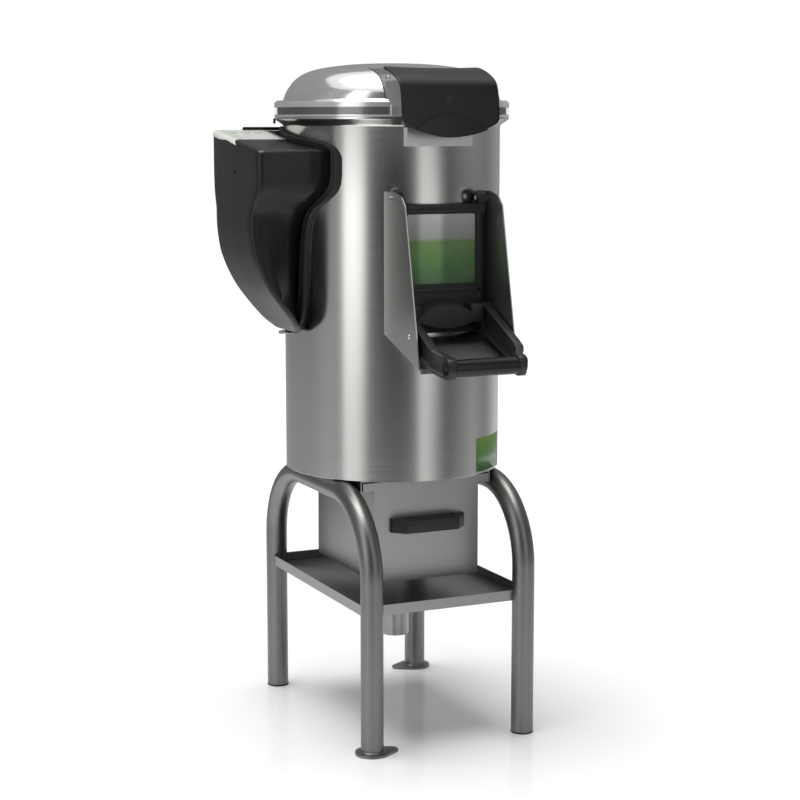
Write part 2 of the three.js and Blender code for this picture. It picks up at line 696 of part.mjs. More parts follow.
// The belt is the outline round both pulleys, less the same outline at the bottom of the grooves
function beltOutline(lift) {
  const big = drivenPulleyRadius - grooveDepth + gap + lift;
  const small = motorPulleyRadius - grooveDepth + gap + lift;
  const lean = THREE.MathUtils.radToDeg(Math.asin((big - small) / motorY));
  return outline([...arc(0, 0, big, 180 - lean, 360 + lean, beltSides),
    ...arc(0, motorY, small, lean, 180 - lean, beltSides / 2)]);
}
const beltBottom = pulleyBottom + pulleyFlange + gap;
const beltTop = pulleyBottom + pulleyHeight - pulleyFlange - gap;
piece(drive, 'drive_belt', cut(solid(alongZ(beltOutline(beltThickness), beltBottom, beltTop)),
  solid(alongZ(beltOutline(0), beltBottom - overrun, beltTop + overrun))), blackRubber);

const motorBottom = shelfZ + shelfSheet + gap;
const motorTop = chamberFloorZ - motorHeadroom;
const motorBoreTop = motorBottom + motorShaftInside + gap;
piece(drive, 'motor', turned([[motorShaftRadius + gap, motorBottom], [motorRadius, motorBottom],
  [motorRadius, motorTop], [0, motorTop], [0, motorBoreTop],
  [motorShaftRadius + gap, motorBoreTop]], wheelSides), motorPaint).position.y = motorY;
piece(drive, 'motor_shaft', disc(motorShaftRadius, pulleyBottom, motorBottom + motorShaftInside),
  satinTube).position.y = motorY;
piece(drive, 'motor_shelf', cut(
  solid(disc(shellFit, shelfZ, shelfZ + shelfSheet, turnSides)),
  solid(block(-drumRadius, drumRadius, -drumRadius, -shelfHoleRadius - shelfLand, shelfZ - overrun,
    shelfZ + shelfSheet + overrun)),
  solid(disc(shelfHoleRadius, shelfZ - overrun, shelfZ + shelfSheet + overrun)),
  solid(disc(shelfHoleRadius, shelfZ - overrun, shelfZ + shelfSheet + overrun))
    .translate([0, motorY, 0])), brushedSteel);

const discTop = discBottom + discThickness;
const waves = Array.from({ length: discWaves }, (_, i) =>
  solid(alongX(circle(0, discTop, discWaveRadius), discWaveInner, discRadius - discWaveInset))
    .rotate([0, 0, (360 / discWaves) * i]));
piece(drive, 'abrasive_disc', cut(
  join(solid(turned([[spindleRadius + gap, discBottom], [discRadius, discBottom], [discRadius, discTop],
    [discHubRadius, discTop], [discHubRadius, discBottom + discHubHeight],
    [spindleRadius + gap, discBottom + discHubHeight]])), ...waves),
  solid(disc(discRadius + overrun, discBottom - discWaveRadius - overrun, discBottom))), abrasive);
const nutBottom = discBottom + discHubHeight + gap;
piece(drive, 'disc_nut', turned([
  [spindleRadius + gap, nutBottom], [nutRadius, nutBottom], [nutRadius, nutBottom + nutHeight - nutCap],
  [nutCap, nutBottom + nutHeight], [0, nutBottom + nutHeight], [0, spindleTop + gap],
  [spindleRadius + gap, spindleTop + gap]], wheelSides), blackPlastic);

// Filter drawer
const drawer = assembly();
const boxFrontY = drawerFrontY + drawerFrontThickness + gap;
const drawerInside = (inset, bottom, top) => solid(block(-drawerHalfWidth + inset,
  drawerHalfWidth - inset, boxFrontY + inset, drawerBackY - inset, bottom, top));
piece(drawer, 'drawer_box', cut(
  join(drawerInside(0, drawerBottom, drawerTop),
    solid(block(-drawerEarHalfWidth, drawerEarHalfWidth, boxFrontY, drawerBackY,
      runnerBottom, runnerBottom + drawerSheet))),
  drawerInside(drawerSheet, drawerBottom + drawerSheet, drawerTop + overrun),
  solid(disc(drawerOutletRadius, drawerBottom - overrun, drawerBottom + drawerSheet + overrun))
    .translate([0, drawerOutletY, 0])), brushedSteel);
const drawerFrontHalfWidth = drawerHalfWidth + drawerFrontLap;
const drawerFrontBottom = drawerBottom - drawerFrontDrop;
piece(drawer, 'drawer_front', alongY(outline([
  [-drawerFrontHalfWidth, drawerFrontBottom], [drawerFrontHalfWidth, drawerFrontBottom],
  [drawerFrontHalfWidth, drawerEarBottom], [drawerEarHalfWidth, drawerEarBottom],
  [drawerEarHalfWidth, drawerEarTop], [-drawerEarHalfWidth, drawerEarTop],
  [-drawerEarHalfWidth, drawerEarBottom], [-drawerFrontHalfWidth, drawerEarBottom]]),
drawerFrontY, drawerFrontY + drawerFrontThickness), brushedSteel);

const pullBack = drawerFrontY - gap;
const pullFront = pullBack - pullReach;
const pullTop = drawerTop - pullDrop;
piece(drawer, 'drawer_handle', alongZ(outline([
  [-pullHalfWidth, pullBack], [-pullHalfWidth, pullBack - pullReach + pullBend],
  [-pullHalfWidth + pullBend, pullFront], [pullHalfWidth - pullBend, pullFront],
  [pullHalfWidth, pullBack - pullReach + pullBend], [pullHalfWidth, pullBack],
  [pullHalfWidth - pullFoot, pullBack],
  [pullHalfWidth - pullFoot - gap, pullFront + pullBar],
  [-pullHalfWidth + pullFoot + gap, pullFront + pullBar], [-pullHalfWidth + pullFoot, pullBack]]),
pullTop - pullHeight, pullTop), blackPlastic);

const screenTop = drawerBottom + drawerSheet + gap + screenHeight;
const screenEdge = drawerSheet + screenInset;
const firstSlotX = screenEdge + screenSideBorder - drawerHalfWidth;
const slotPitch = (-2 * firstSlotX - screenSlotWidth) / (screenSlots - 1);
const firstRowY = boxFrontY + screenEdge + screenEndBorder;
const lastRowY = drawerBackY - screenEdge - screenEndBorder;
const slotLength = (lastRowY - firstRowY - screenRowGap * (screenRows - 1)) / screenRows;
const slots = [];
for (let row = 0; row < screenRows; row += 1) {
  for (let i = 0; i < screenSlots; i += 1) {
    const x = firstSlotX + i * slotPitch;
    const y = firstRowY + row * (slotLength + screenRowGap);
    slots.push(solid(block(x, x + screenSlotWidth, y, y + slotLength,
      screenTop - overrun, screenTop + overrun)));
  }
}
piece(drawer, 'filter_screen', cut(
  drawerInside(screenEdge, drawerBottom + drawerSheet + gap, screenTop),
  drawerInside(screenEdge + drawerSheet, drawerBottom, screenTop - drawerSheet), ...slots), brushedSteel);

for (const [side, sign] of sides) {
  const railBottom = railTop - railHeight;
  const web = railOuterX - railSheet;
  const lip = railOuterX - railLipWidth;
  const channel = alongY(outline([[lip, railBottom], [railOuterX, railBottom], [railOuterX, railTop],
    [lip, railTop], [lip, railTop - railSheet], [web, railTop - railSheet],
    [web, railBottom + railSheet], [lip, railBottom + railSheet]]), boxFrontY, drawerBackY);
  const rail = piece(drawer, `drawer_rail_${side}`, channel, brushedSteel);
  if (sign < 0) rail.rotation.z = Math.PI;
  if (sign < 0) rail.position.y = boxFrontY + drawerBackY;
}

// Chute and door
const chute = assembly();
const trim = envelope(gap);
const doorEarOuterX = cheekInnerX - doorEarRoom;
const doorEarInnerX = doorEarOuterX - doorEarWidth;
const doorPinInnerX = doorEarInnerX - doorPinInside;
const pinHole = solid(alongX(circle(doorHingeY, doorHingeZ, doorPinRadius + gap),
  doorPinInnerX - overrun, cheekOuterX + overrun));
const mirrored = (body, sign) => (sign > 0 ? body : body.mirror([1, 0, 0]));

piece(chute, 'door_collar', cut(
  solid(alongY(rectangle(-collarHalfWidth, collarHalfWidth, collarBottom, collarTop), collarFrontY,
    -drumRadius / 2)),
  solid(alongY(rectangle(-doorOpeningHalfWidth - collarLip, doorOpeningHalfWidth + collarLip,
    doorOpeningBottom - collarLip, doorOpeningTop + collarLip), collarFrontY - overrun, 0)),
  trim), blackPlastic);

const cheekTopFrontY = -drumRadius - cheekTopReach;
const cheekCornerY = -drumRadius - cheekCornerReach;
const cheekShoulderY = -drumRadius - cheekShoulderReach;
const cheekCornerZ = cheekTop - cheekCornerDrop;
const cheekRoot = [cheekRootDepth - drumRadius, collarBottom - cheekRootDrop];
for (const [side, sign] of sides) {
  const plate = solid(alongX(outline([
    [-drumRadius / 2, cheekTop], [cheekTopFrontY, cheekTop],
    [(cheekTopFrontY + cheekCornerY * 2) / 3, (cheekTop * 2 + cheekCornerZ) / 3],
    [cheekCornerY, cheekCornerZ], [cheekShoulderY, cheekFrontBottom + cheekShoulderRise],
    [cheekFrontY, cheekFrontBottom], cheekRoot, [-drumRadius / 2, cheekRoot[1]]]),
  cheekInnerX, cheekOuterX));
  piece(chute, `chute_cheek_${side}`, mirrored(cut(plate, trim, pinHole), sign), brushedSteel);

  const shank = cheekOuterX + gap;
  const pin = turned([[0, doorPinInnerX], [doorPinRadius, doorPinInnerX], [doorPinRadius, shank],
    [doorPinHeadRadius, shank], [doorPinHeadRadius, shank + doorPinHead], [0, shank + doorPinHead]],
  rodSides).rotateY(Math.PI / 2).translate(0, doorHingeY, doorHingeZ);
  piece(chute, `door_pin_${side}`, mirrored(solid(pin), sign), brushedSteel);
}
const chuteHalf = cheekInnerX - gap;
const chuteUnderside = [cheekRoot, [cheekFrontY, cheekFrontBottom]];
const chuteTopside = offsetLine(chuteUnderside, -chuteSheet);
piece(chute, 'chute_floor', cut(solid(alongX(outline([
  ...chuteUnderside, [cheekFrontY, cheekFrontBottom - chuteLip],
  [cheekFrontY - chuteSheet, cheekFrontBottom - chuteLip], chuteTopside[1], chuteTopside[0]]),
-chuteHalf, chuteHalf)), trim), brushedSteel);

const door = assembly(chute);
const leaf = solid(alongY(outline([
  ...arc(-doorHalfWidth + doorCorner, doorTop - doorCorner, doorCorner, 180, 90, 3),
  ...arc(doorHalfWidth - doorCorner, doorTop - doorCorner, doorCorner, 90, 0, 3),
  ...bow(doorHalfWidth, doorBottom + doorSideRise, -doorHalfWidth, doorBottom + doorSideRise,
    -doorSideRise, gripSteps)]), doorFrontY, doorBackY));
const plug = solid(alongY(rectangle(-doorOpeningHalfWidth + doorPlugInset,
  doorOpeningHalfWidth - doorPlugInset, doorOpeningBottom + doorPlugInset,
  doorOpeningTop - doorPlugInset), doorFrontY + doorPlugInset, doorBackY + doorPlugDepth));
const gripRing = (y, half, side, top, bottom) => [
  ...bow(half, side, -half, side, top - side, gripSteps).slice(0, gripSteps),
  ...bow(-half, side, half, side, bottom - side, gripSteps).slice(0, gripSteps)].map(([x, z]) => [x, y, z]);
const gripBottom = doorBottom + gripLift;
const gripTop = gripBottom + gripHeight;
const gripSide = gripBottom + gripSideRise;
const grip = solid(loft([
  gripRing(doorFrontY + doorPlugInset, gripBackHalfWidth, gripSide, gripTop, gripBottom),
  gripRing(doorFrontY - gripDepth, gripBackHalfWidth - gripFrontInset, gripSide,
    gripTop - gripFrontTopDrop, gripBottom + gripFrontLift)]));
const ears = sides.flatMap(([, sign]) => {
  const web = solid(block(doorEarInnerX, doorEarOuterX, doorFrontY, doorBackY,
    doorTop - doorEarDrop, doorHingeZ));
  const eye = solid(alongX(circle(doorHingeY, doorHingeZ, doorEarRadius), doorEarInnerX, doorEarOuterX));
  const lug = solid(block(armInnerX - gap - lugInset, armInnerX - gap, doorFrontY - lugReach,
    doorFrontY + doorPlugInset, doorBottom + lugLift, doorBottom + lugLift + lugHeight));
  return [mirrored(join(web, eye, lug), sign)];
});
piece(door, 'door_leaf', cut(join(leaf, plug, grip, ...ears), pinHole, mirrored(pinHole, -1)),
  blackPlastic);
const labelHalfWidth = doorHalfWidth - labelSideInset;
const labelTop = doorTop - labelTopInset;
piece(door, 'door_label', alongY(roundedRectangle(-labelHalfWidth, labelHalfWidth,
  gripTop + labelRoom, labelTop, labelCorner), doorFrontY - gap - labelThickness, doorFrontY - gap),
greenLabel);

const armBackY = doorFrontY - armBackReach;
const armBackBottom = doorBottom + armBackLift;
const barY = doorFrontY - barReach;
const barZ = doorBottom - barDrop;

const barHalf = armInnerX - armToeIn - gap;
const armTurnY = barY + armTurnRoom;
const armTurnEndY = barY + bossRadius / 2;
const armPlan = outline([[armInnerX, armBackY], [armOuterX, armBackY], [armOuterX, armTurnY],
  [armOuterX - armToeIn, armTurnEndY], [armOuterX - armToeIn, barY - bossRadius],
  [armInnerX - armToeIn, barY - bossRadius], [armInnerX - armToeIn, armTurnEndY], [armInnerX, armTurnY]]);
for (const [side, sign] of sides) {
  const arm = solid(alongX(outline([[armBackY, armBackBottom + armBackHeight],
    [doorFrontY - armKneeReach, doorBottom - armKneeDrop], ...arc(barY, barZ, bossRadius, 80, 280, 8),
    [doorFrontY - armBellyReach, doorBottom - armBellyDrop], [armBackY, armBackBottom]]),
  armInnerX - armToeIn, armOuterX)).intersect(solid(alongZ(armPlan, barZ - bossRadius, doorTop)));
  piece(door, `door_arm_${side}`, mirrored(arm, sign), blackPlastic);
}
piece(door, 'door_bar', alongX(circle(barY, barZ, barRadius), -barHalf, barHalf), blackPlastic);

// Lid
const lid = assembly();
const domeLine = (radius, base, top) => domeShares.map(([r, h]) => [r * radius, base + h * (top - base)]);
const domeOutside = domeLine(lidDomeRadius, lidDomeBase, lidTop);
const domeInside = domeLine(lidDomeRadius - lidWall, lidDomeBase - lidWall, lidTop - lidWall);
const rimInner = lidRimRadius - lidRimWall;
const lidShell = solid(turned([[rimInner, lidRimBottom], [lidRimRadius, lidRimBottom],
  [lidRimRadius, lidRimTop], [lidFlangeRadius, lidFlangeTop], ...domeOutside,
  ...domeInside.slice().reverse(), [rimInner, lidFlangeTop - lidWall - lidRimWall / 2]]));
const lidHollow = solid(turned([[0, lidRimBottom - overrun], [rimInner, lidRimBottom - overrun],
  [rimInner, lidFlangeTop - lidWall - lidRimWall / 2], ...domeInside]));

const bowLine = plateBowShares.map(([forward, high]) =>
  [plateTopBackY + forward * (plateFrontY - plateTopBackY), plateBottom + high * (plateTop - plateBottom)]);
const band = (line, near, far) => [...offsetLine(line, -near), ...offsetLine(line, -far).reverse()];
const noseLine = (depth) => {
  const line = offsetLine(bowLine, -depth);
  return [[line[0][0], lidRimBottom], ...line.filter(([, z]) => z > lidRimBottom),
    [noseBackY, line[line.length - 1][1]], [noseBackY, lidRimBottom]];
};
const noseOutside = plateThickness + gap;
const nose = cut(
  solid(alongX(outline(noseLine(noseOutside)), -noseHalfWidth, noseHalfWidth)),
  solid(alongX(outline(noseLine(noseOutside + noseWall).map(([y, z]) =>
    [y, z === lidRimBottom ? z - overrun : z])), -noseHalfWidth + noseWall, noseHalfWidth - noseWall)));
piece(lid, 'lid_dome', cut(join(lidShell, nose), lidHollow), clearPlastic);
piece(lid, 'lid_gasket', ring(lidDomeRadius + lidGasketInset, rimInner - gap, lidRimBottom,
  lidRimBottom + lidGasketHeight, turnSides), blackRubber);

const plateCornerZ = plateBottom + plateCornerRise;
const plateFront = solid(alongY(outline([
  [plateHalfWidth, plateTop + overrun], [-plateHalfWidth, plateTop + overrun],
  [-plateHalfWidth, plateCornerZ + plateCornerInset],
  ...bow(-plateHalfWidth + plateCornerInset, plateCornerZ, plateHalfWidth - plateCornerInset,
    plateCornerZ, plateBottom - plateCornerZ, gripSteps),
  [plateHalfWidth, plateCornerZ + plateCornerInset]]), plateFrontY - overrun, 0));
const plateHollow = solid(alongZ(outline([
  ...bow(-plateHalfWidth - overrun, plateTopBackY + gap, plateHalfWidth + overrun, plateTopBackY + gap,
    -plateTopHollow, gripSteps),
  [plateHalfWidth + overrun, 0], [-plateHalfWidth - overrun, 0]]), plateBottom, plateTop + overrun));
const lensHalfWidth = plateHalfWidth - lensSideInset;
const lensSideZ = plateBottom + lensSideRise;
const lensTop = plateBottom + lensHeight;
const lensOutline = [...bow(lensHalfWidth, lensSideZ, -lensHalfWidth, lensSideZ, lensTop - lensSideZ,
  gripSteps).slice(0, gripSteps), ...bow(-lensHalfWidth, lensSideZ, lensHalfWidth, lensSideZ,
  plateBottom - lensSideZ, gripSteps).slice(0, gripSteps)];
const lens = solid(alongY(outline(lensOutline), plateFrontY - lensRaise, plateFrontY + plateThickness / 2));
piece(lid, 'lid_handle', join(cut(
  solid(alongX(outline(band(bowLine, 0, plateThickness)), -plateHalfWidth, plateHalfWidth))
    .intersect(plateFront), plateHollow), lens), blackPlastic);

const hingeLeafBottom = lidDomeBase + gap;
const hingeLeafFrontY = lidFlangeRadius - hingeLeafLap;
piece(lid, 'lid_hinge_leaf', cut(join(
  solid(block(-hingeLeafHalfWidth, hingeLeafHalfWidth, hingeLeafFrontY, hingeY, hingeLeafBottom,
    hingeLeafBottom + hingeLeafThickness)),
  solid(alongX(circle(hingeY, hingeZ, hingeKnuckleRadius), -hingeLeafHalfWidth, hingeLeafHalfWidth))),
solid(alongX(circle(hingeY, hingeZ, hingePinRadius + gap), -hingeLeafHalfWidth - overrun,
  hingeLeafHalfWidth + overrun))), brushedSteel);

const hingeMount = assembly(drum);
const hingeEarX = hingeLeafHalfWidth + hingeEarGap;
const hingeOuterX = hingeEarX + hingeEarThickness;
const hingeFootTop = hingeZ - hingeFootDrop;
const hingeFootBottom = hingeFootTop - hingeFootHeight;
const hingeEars = sides.map(([, sign]) => mirrored(solid(alongX(outline([
  [drumRadius / 2, hingeFootBottom], [drumRadius + hingeFootDepth, hingeFootBottom],
  [hingeY, hingeFootTop], ...arc(hingeY, hingeZ, hingeEarRadius, 0, 180, 8),
  [hingeY - hingeEarDepth, hingeZ - hingeEarShoulder], [drumRadius / 2, hingeFootTop]]),
hingeEarX, hingeOuterX)), sign));
piece(hingeMount, 'lid_bracket', cut(join(
  solid(block(-hingeOuterX, hingeOuterX, drumRadius / 2, drumRadius + hingeFootDepth, hingeFootBottom,
    hingeFootTop)), ...hingeEars), trim,
solid(alongX(circle(hingeY, hingeZ, hingePinRadius + gap), -hingeOuterX - overrun,
  hingeOuterX + overrun))), brushedSteel);
const pinHalf = hingeOuterX + hingePinOverhang;
piece(hingeMount, 'lid_pin', alongX(circle(hingeY, hingeZ, hingePinRadius), -pinHalf, pinHalf), satinTube);

const tangentBlock = (half, inner, outer, bottom, top) =>
  solid(block(-half, half, -outer, -inner, bottom, top)).rotate([0, 0, interlockAngle]);
const interlockBottom = lidRimBottom + interlockLift;
const interlockTop = interlockBottom + interlockHeight;
piece(lid, 'lid_magnet', cut(
  tangentBlock(interlockHalfWidth, lidRimRadius / 2, lidRimRadius + interlockDepth, interlockBottom,
    interlockTop),
  solid(disc(lidRimRadius + gap, interlockBottom - overrun, interlockTop + overrun, turnSides))),
greyPlastic);
const switchTop = lidRimBottom - switchRoom;
piece(hingeMount, 'lid_switch', cut(tangentBlock(switchHalfWidth, drumRadius / 2,
  drumRadius + switchDepth, switchTop - switchHeight, switchTop), trim), blackPlastic);
const catchFrontY = -drumRadius - catchDepth;
const catchTop = flareStart - catchRoom;
const catchBottom = catchTop - catchHeight;
piece(hingeMount, 'lid_catch', cut(solid(block(-catchHalfWidth, catchHalfWidth, catchFrontY,
  -drumRadius / 2, catchBottom, catchTop)),
solid(block(-catchHalfWidth + catchSheet, catchHalfWidth - catchSheet, catchFrontY + catchSheet,
  -drumRadius / 2 + overrun, catchBottom - overrun, catchTop + overrun)), trim), brushedSteel);

// Control housing
const controls = assembly();
const topSlope = THREE.MathUtils.degToRad(housingTopRise);

function housingBody(inset) {
  const floor = housingBottom + inset;
  const rings = housingShares.map(([h, reach, outside, seam]) => {
    const z = floor + h * (housingCrown - floor);
    const x = Math.max(housingReach * reach - inset, drumRadius);
    const half = Math.max(housingHalfWidth * outside - inset, gap);
    const root = Math.max((housingHalfWidth - housingSeamInset) * seam - inset, gap);
    const corner = Math.min(housingCorner - Math.min(inset, housingCorner / 2), half);
    const rootX = Math.sqrt(drumRadius ** 2 - root ** 2) - housingRootDepth;
    return [[-rootX, root, z],
      ...arc(-x + corner, half - corner, corner, 90, 180, 3).map(([px, py]) => [px, py, z]),
      ...arc(-x + corner, -half + corner, corner, 180, 270, 3).map(([px, py]) => [px, py, z]),
      [-rootX, -root, z]];
  });
  return solid(loft(rings));
}
const aboveTop = (lift) => {
  const slab = block(-housingReach * 2, 0, -housingReach, housingReach, lift, housingReach);
  return solid(slab.rotateX(topSlope).translate(0, 0, housingTopZ));
};
const outside = (clearance) => solid(disc(drumRadius + clearance, 0, drumTop + overrun, turnSides));
const panelOuterX = housingReach - panelOuterInset;
const panelBackY = housingHalfWidth - panelBackInset;
const buttonSpots = ['start_button', 'stop_button', 'timer_button'].map((name, i) =>
  [name, buttonEdge - panelOuterX + i * buttonPitch, panelBackY - buttonBack]);
const buttonRod = (x, y, radius, from, to) => disc(radius, from, to).translate(x, y, 0);
const buttonHoles = buttonSpots.map(([, x, y]) =>
  solid(buttonRod(x, y, buttonRadius + gap, -housingReach / 4, overrun)
    .rotateX(topSlope).translate(0, 0, housingTopZ)));
const coverClearance = sealThickness + gap * 2;
const glandX = drumRadius + glandOut;
const glandZ = housingTopZ - glandDrop;
piece(controls, 'housing_cover', cut(
  housingBody(0), aboveTop(0), cut(housingBody(housingWall), aboveTop(-housingWall)),
  outside(coverClearance), ...buttonHoles,
  solid(alongY(circle(-glandX, glandZ, glandThreadRadius + gap), 0, housingHalfWidth + overrun))),
blackPlastic);
piece(controls, 'housing_seal', cut(
  housingBody(-sealOutside), aboveTop(sealOutside),
  cut(housingBody(sealInside), aboveTop(-sealInside)), trim)
  .intersect(outside(gap + sealThickness)), blackRubber);

const deck = assembly(controls); // the sloping top of the housing
deck.rotation.x = topSlope;
deck.position.z = housingTopZ;
const panelHoles = buttonSpots.map(([, x, y]) =>
  solid(buttonRod(x, y, buttonRadius + gap, -overrun, panelThickness + overrun)));
piece(deck, 'control_panel', cut(
  solid(alongZ(roundedRectangle(-panelOuterX, panelWidth - panelOuterX, panelBackY - panelDepth,
    panelBackY, panelCorner), gap, gap + panelThickness)), ...panelHoles), whiteButton);
for (const [[name, x, y], material] of [[buttonSpots[0], greenButton], [buttonSpots[1], redButton],
  [buttonSpots[2], whiteButton]]) {
  piece(deck, name, disc(buttonRadius, -buttonDepth, buttonStand), material).position.set(x, y, 0);
}

const contactorTop = housingTopZ - contactorDrop;
piece(controls, 'contactor', block(housingWall + gap - housingReach, -drumRadius - contactorRoom,
  -contactorHalfDepth, contactorHalfDepth, contactorTop - contactorHeight, contactorTop), greyPlastic);

const gland = piece(controls, 'cable_gland', turned([
  [glandBoreRadius, -glandInside], [glandThreadRadius, -glandInside], [glandThreadRadius, gap],
  [glandRadius, gap], [glandRadius, glandLength / 2], [glandThreadRadius, glandLength],
  [glandBoreRadius, glandLength]], rodSides), blackPlastic);
gland.rotation.x = -Math.PI / 2;
gland.position.set(-glandX, housingHalfWidth, glandZ);

const inlet = assembly(controls);
inlet.rotation.z = -THREE.MathUtils.degToRad(inletAngle);
inlet.position.z = inletZ;
const nutSeat = drumRadius + inletNutSeat;
piece(inlet, 'water_inlet', turned([
  [inletBoreRadius, drumRadius - inletInside], [inletPipeRadius, drumRadius - inletInside],
  [inletPipeRadius, nutSeat],
  [inletNutRadius, nutSeat], [inletNutRadius, nutSeat + inletNutHeight],
  [inletPipeRadius, nutSeat + inletNutHeight], [inletPipeRadius, drumRadius + inletOutside],
  [inletBoreRadius, drumRadius + inletOutside]], rodSides), castAluminium).rotation.x = -Math.PI / 2;

// The origin is the middle of the footprint, on the floor
peeler.updateMatrixWorld(true);
const footprint = new THREE.Box3().setFromObject(peeler, true);
peeler.position.set(-(footprint.min.x + footprint.max.x) / 2, -(footprint.min.y + footprint.max.y) / 2,
  -footprint.min.z);

export default peeler;
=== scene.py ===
# An electric potato peeler on a tubular stand, dressed for one studio photograph. Metres, +Z up,
# front towards -Y. The sections follow the studio, then the machine from its stand up to its lid, and
# last the control housing on its side.
import math

import bmesh
import bpy
from mathutils import Euler, Matrix, Vector


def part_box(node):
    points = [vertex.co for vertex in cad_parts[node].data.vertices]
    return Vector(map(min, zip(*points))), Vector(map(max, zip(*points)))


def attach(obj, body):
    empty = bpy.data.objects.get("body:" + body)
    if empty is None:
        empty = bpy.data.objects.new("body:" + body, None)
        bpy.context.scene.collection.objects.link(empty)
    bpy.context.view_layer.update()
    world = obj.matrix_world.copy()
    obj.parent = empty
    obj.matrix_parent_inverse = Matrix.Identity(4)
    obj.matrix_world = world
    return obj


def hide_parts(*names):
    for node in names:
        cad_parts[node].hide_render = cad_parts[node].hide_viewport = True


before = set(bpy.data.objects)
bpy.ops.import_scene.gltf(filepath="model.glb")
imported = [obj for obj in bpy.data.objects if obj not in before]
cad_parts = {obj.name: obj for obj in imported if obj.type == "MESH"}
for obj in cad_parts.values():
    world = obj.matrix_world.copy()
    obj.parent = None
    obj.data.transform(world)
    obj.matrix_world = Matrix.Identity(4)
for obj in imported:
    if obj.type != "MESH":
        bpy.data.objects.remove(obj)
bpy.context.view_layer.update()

# Camera: a long lens from the front left, a little above the drum's edge, tilted down. Its place, and
# every shape below, is given in millimetres about the drum's upright axis, with the floor at zero.
drum_low, drum_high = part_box("drum_shell")
AXIS = Vector(((drum_low[0] + drum_high[0]) / 2, (drum_low[1] + drum_high[1]) / 2, 0))
MM = 0.001
CAMERA_FROM_AXIS = Vector((-1420, -3123, 1089.5)) * MM
CAMERA_TILT = math.radians(90 - 8.40)
CAMERA_PAN = math.radians(-24.70)
CAMERA_LENS = 84.41
CAMERA_SENSOR = 36
CAMERA_REACH = 50
camera_data = bpy.data.cameras.new("camera")
camera_data.lens = CAMERA_LENS
camera_data.sensor_width = CAMERA_SENSOR
camera_data.clip_end = CAMERA_REACH
camera = bpy.data.objects.new("camera", camera_data)
camera.location = AXIS + CAMERA_FROM_AXIS
camera.rotation_euler = Euler((CAMERA_TILT, 0, CAMERA_PAN))
bpy.context.collection.objects.link(camera)
scene = bpy.context.scene
scene.camera = camera
scene.view_settings.view_transform = "Standard"

# Studio: a white paper floor with a slight gloss, a white surround and one broad light from above. A
# ring of grey flats with two bright strips stands round the machine; only polished surfaces see it.
FLOOR_SIZE = 24
FLATS_RADIUS = 1.75
FLATS_HEIGHT = 3.1
FLATS_STEPS = 120
SURROUND_SHARE = 0.36  # of its light that reaches matt surfaces


class Wire:
    """A socket of a shader, on which plain sums build their Math nodes."""

    def __init__(self, tree, socket=None):
        self.tree = tree
        self.socket = socket

    def node(self, kind, settings=None, output=0, **inputs):
        """Adds a node of a type, with its settings, then the values or wires of its sockets."""
        made = self.tree.nodes.new("ShaderNode" + kind)
        for name, value in (settings or {}).items():
            if name == "stops":
                for place, _ in value[1:-1]:
                    made.color_ramp.elements.new(place)
                made.color_ramp.elements[0].position = value[0][0]
                made.color_ramp.elements[-1].position = value[-1][0]
                for element, (_, tone) in zip(made.color_ramp.elements, value):
                    element.color = (tone, tone, tone, 1) if isinstance(tone, (int, float)) else (*tone, 1)
            else:
                setattr(made, name, value)
        for name, value in inputs.items():
            place = int(name[1:]) if name[0] == "_" else name.replace("_", " ")
            if isinstance(value, Wire):
                self.tree.links.new(value.socket, made.inputs[place])
            else:
                made.inputs[place].default_value = value
        return Wire(self.tree, made.outputs[output])

    def math(self, operation, *terms):
        return self.node("Math", {"operation": operation},
                         **{f"_{i}": term for i, term in enumerate(terms)})

    def __add__(self, other):
        return self.math("ADD", self, other)

    def __sub__(self, other):
        return self.math("SUBTRACT", self, other)

    def __rsub__(self, other):
        return self.math("SUBTRACT", other, self)

    def __mul__(self, other):
        return self.math("MULTIPLY", self, other)

    __radd__ = __add__
    __rmul__ = __mul__

    def between(self, low, high):
        """Nought below the low value, one above the high one, smooth between them."""
        return self.node("MapRange", {"interpolation_type": "SMOOTHSTEP"}, Value=self,
                         From_Min=low, From_Max=high)

    def mix(self, first, second):
        """Colours mixed by this wire."""
        return self.node("Mix", {"data_type": "RGBA"}, output=2, _0=self,
                         _6=first if isinstance(first, Wire) else (*first, 1),
                         _7=second if isinstance(second, Wire) else (*second, 1))


world = bpy.data.worlds.new("surround")
scene.world = world
world.use_nodes = True
air = Wire(world.node_tree)
seen = air.node("LightPath", output="Is Camera Ray")
for kind in ("Glossy", "Transmission"):
    seen = seen.math("MAXIMUM", seen, air.node("LightPath", output=f"Is {kind} Ray"))
background = world.node_tree.nodes["Background"]
background.inputs["Color"].default_value = (1, 1, 1, 1)
strength = seen * (1 - SURROUND_SHARE) + SURROUND_SHARE
world.node_tree.links.new(strength.socket, background.inputs["Strength"])


def new_finish(name):
    """A bare material: its shader, and a wire to start from."""
    material = bpy.data.materials.new(name)
    material.use_nodes = True
    shader = material.node_tree.nodes["Principled BSDF"]
    return material, shader, Wire(material.node_tree)


def feed(shader, **sockets):
    """Sets a shader's sockets to values, or links wires to them."""
    for name, value in sockets.items():
        socket = shader.inputs[name.replace("_", " ")]
        if isinstance(value, Wire):
            shader.id_data.links.new(value.socket, socket)
        elif name.endswith("Color"):
            socket.default_value = (*value, 1)
        else:
            socket.default_value = value


def staged(name, shape, finish):
    """Makes a shape a piece of the studio."""
    mesh = bpy.data.meshes.new(name)
    shape.to_mesh(mesh)
    mesh.materials.append(finish)
    made = bpy.data.objects.new(name, mesh)
    bpy.context.collection.objects.link(made)
    return made


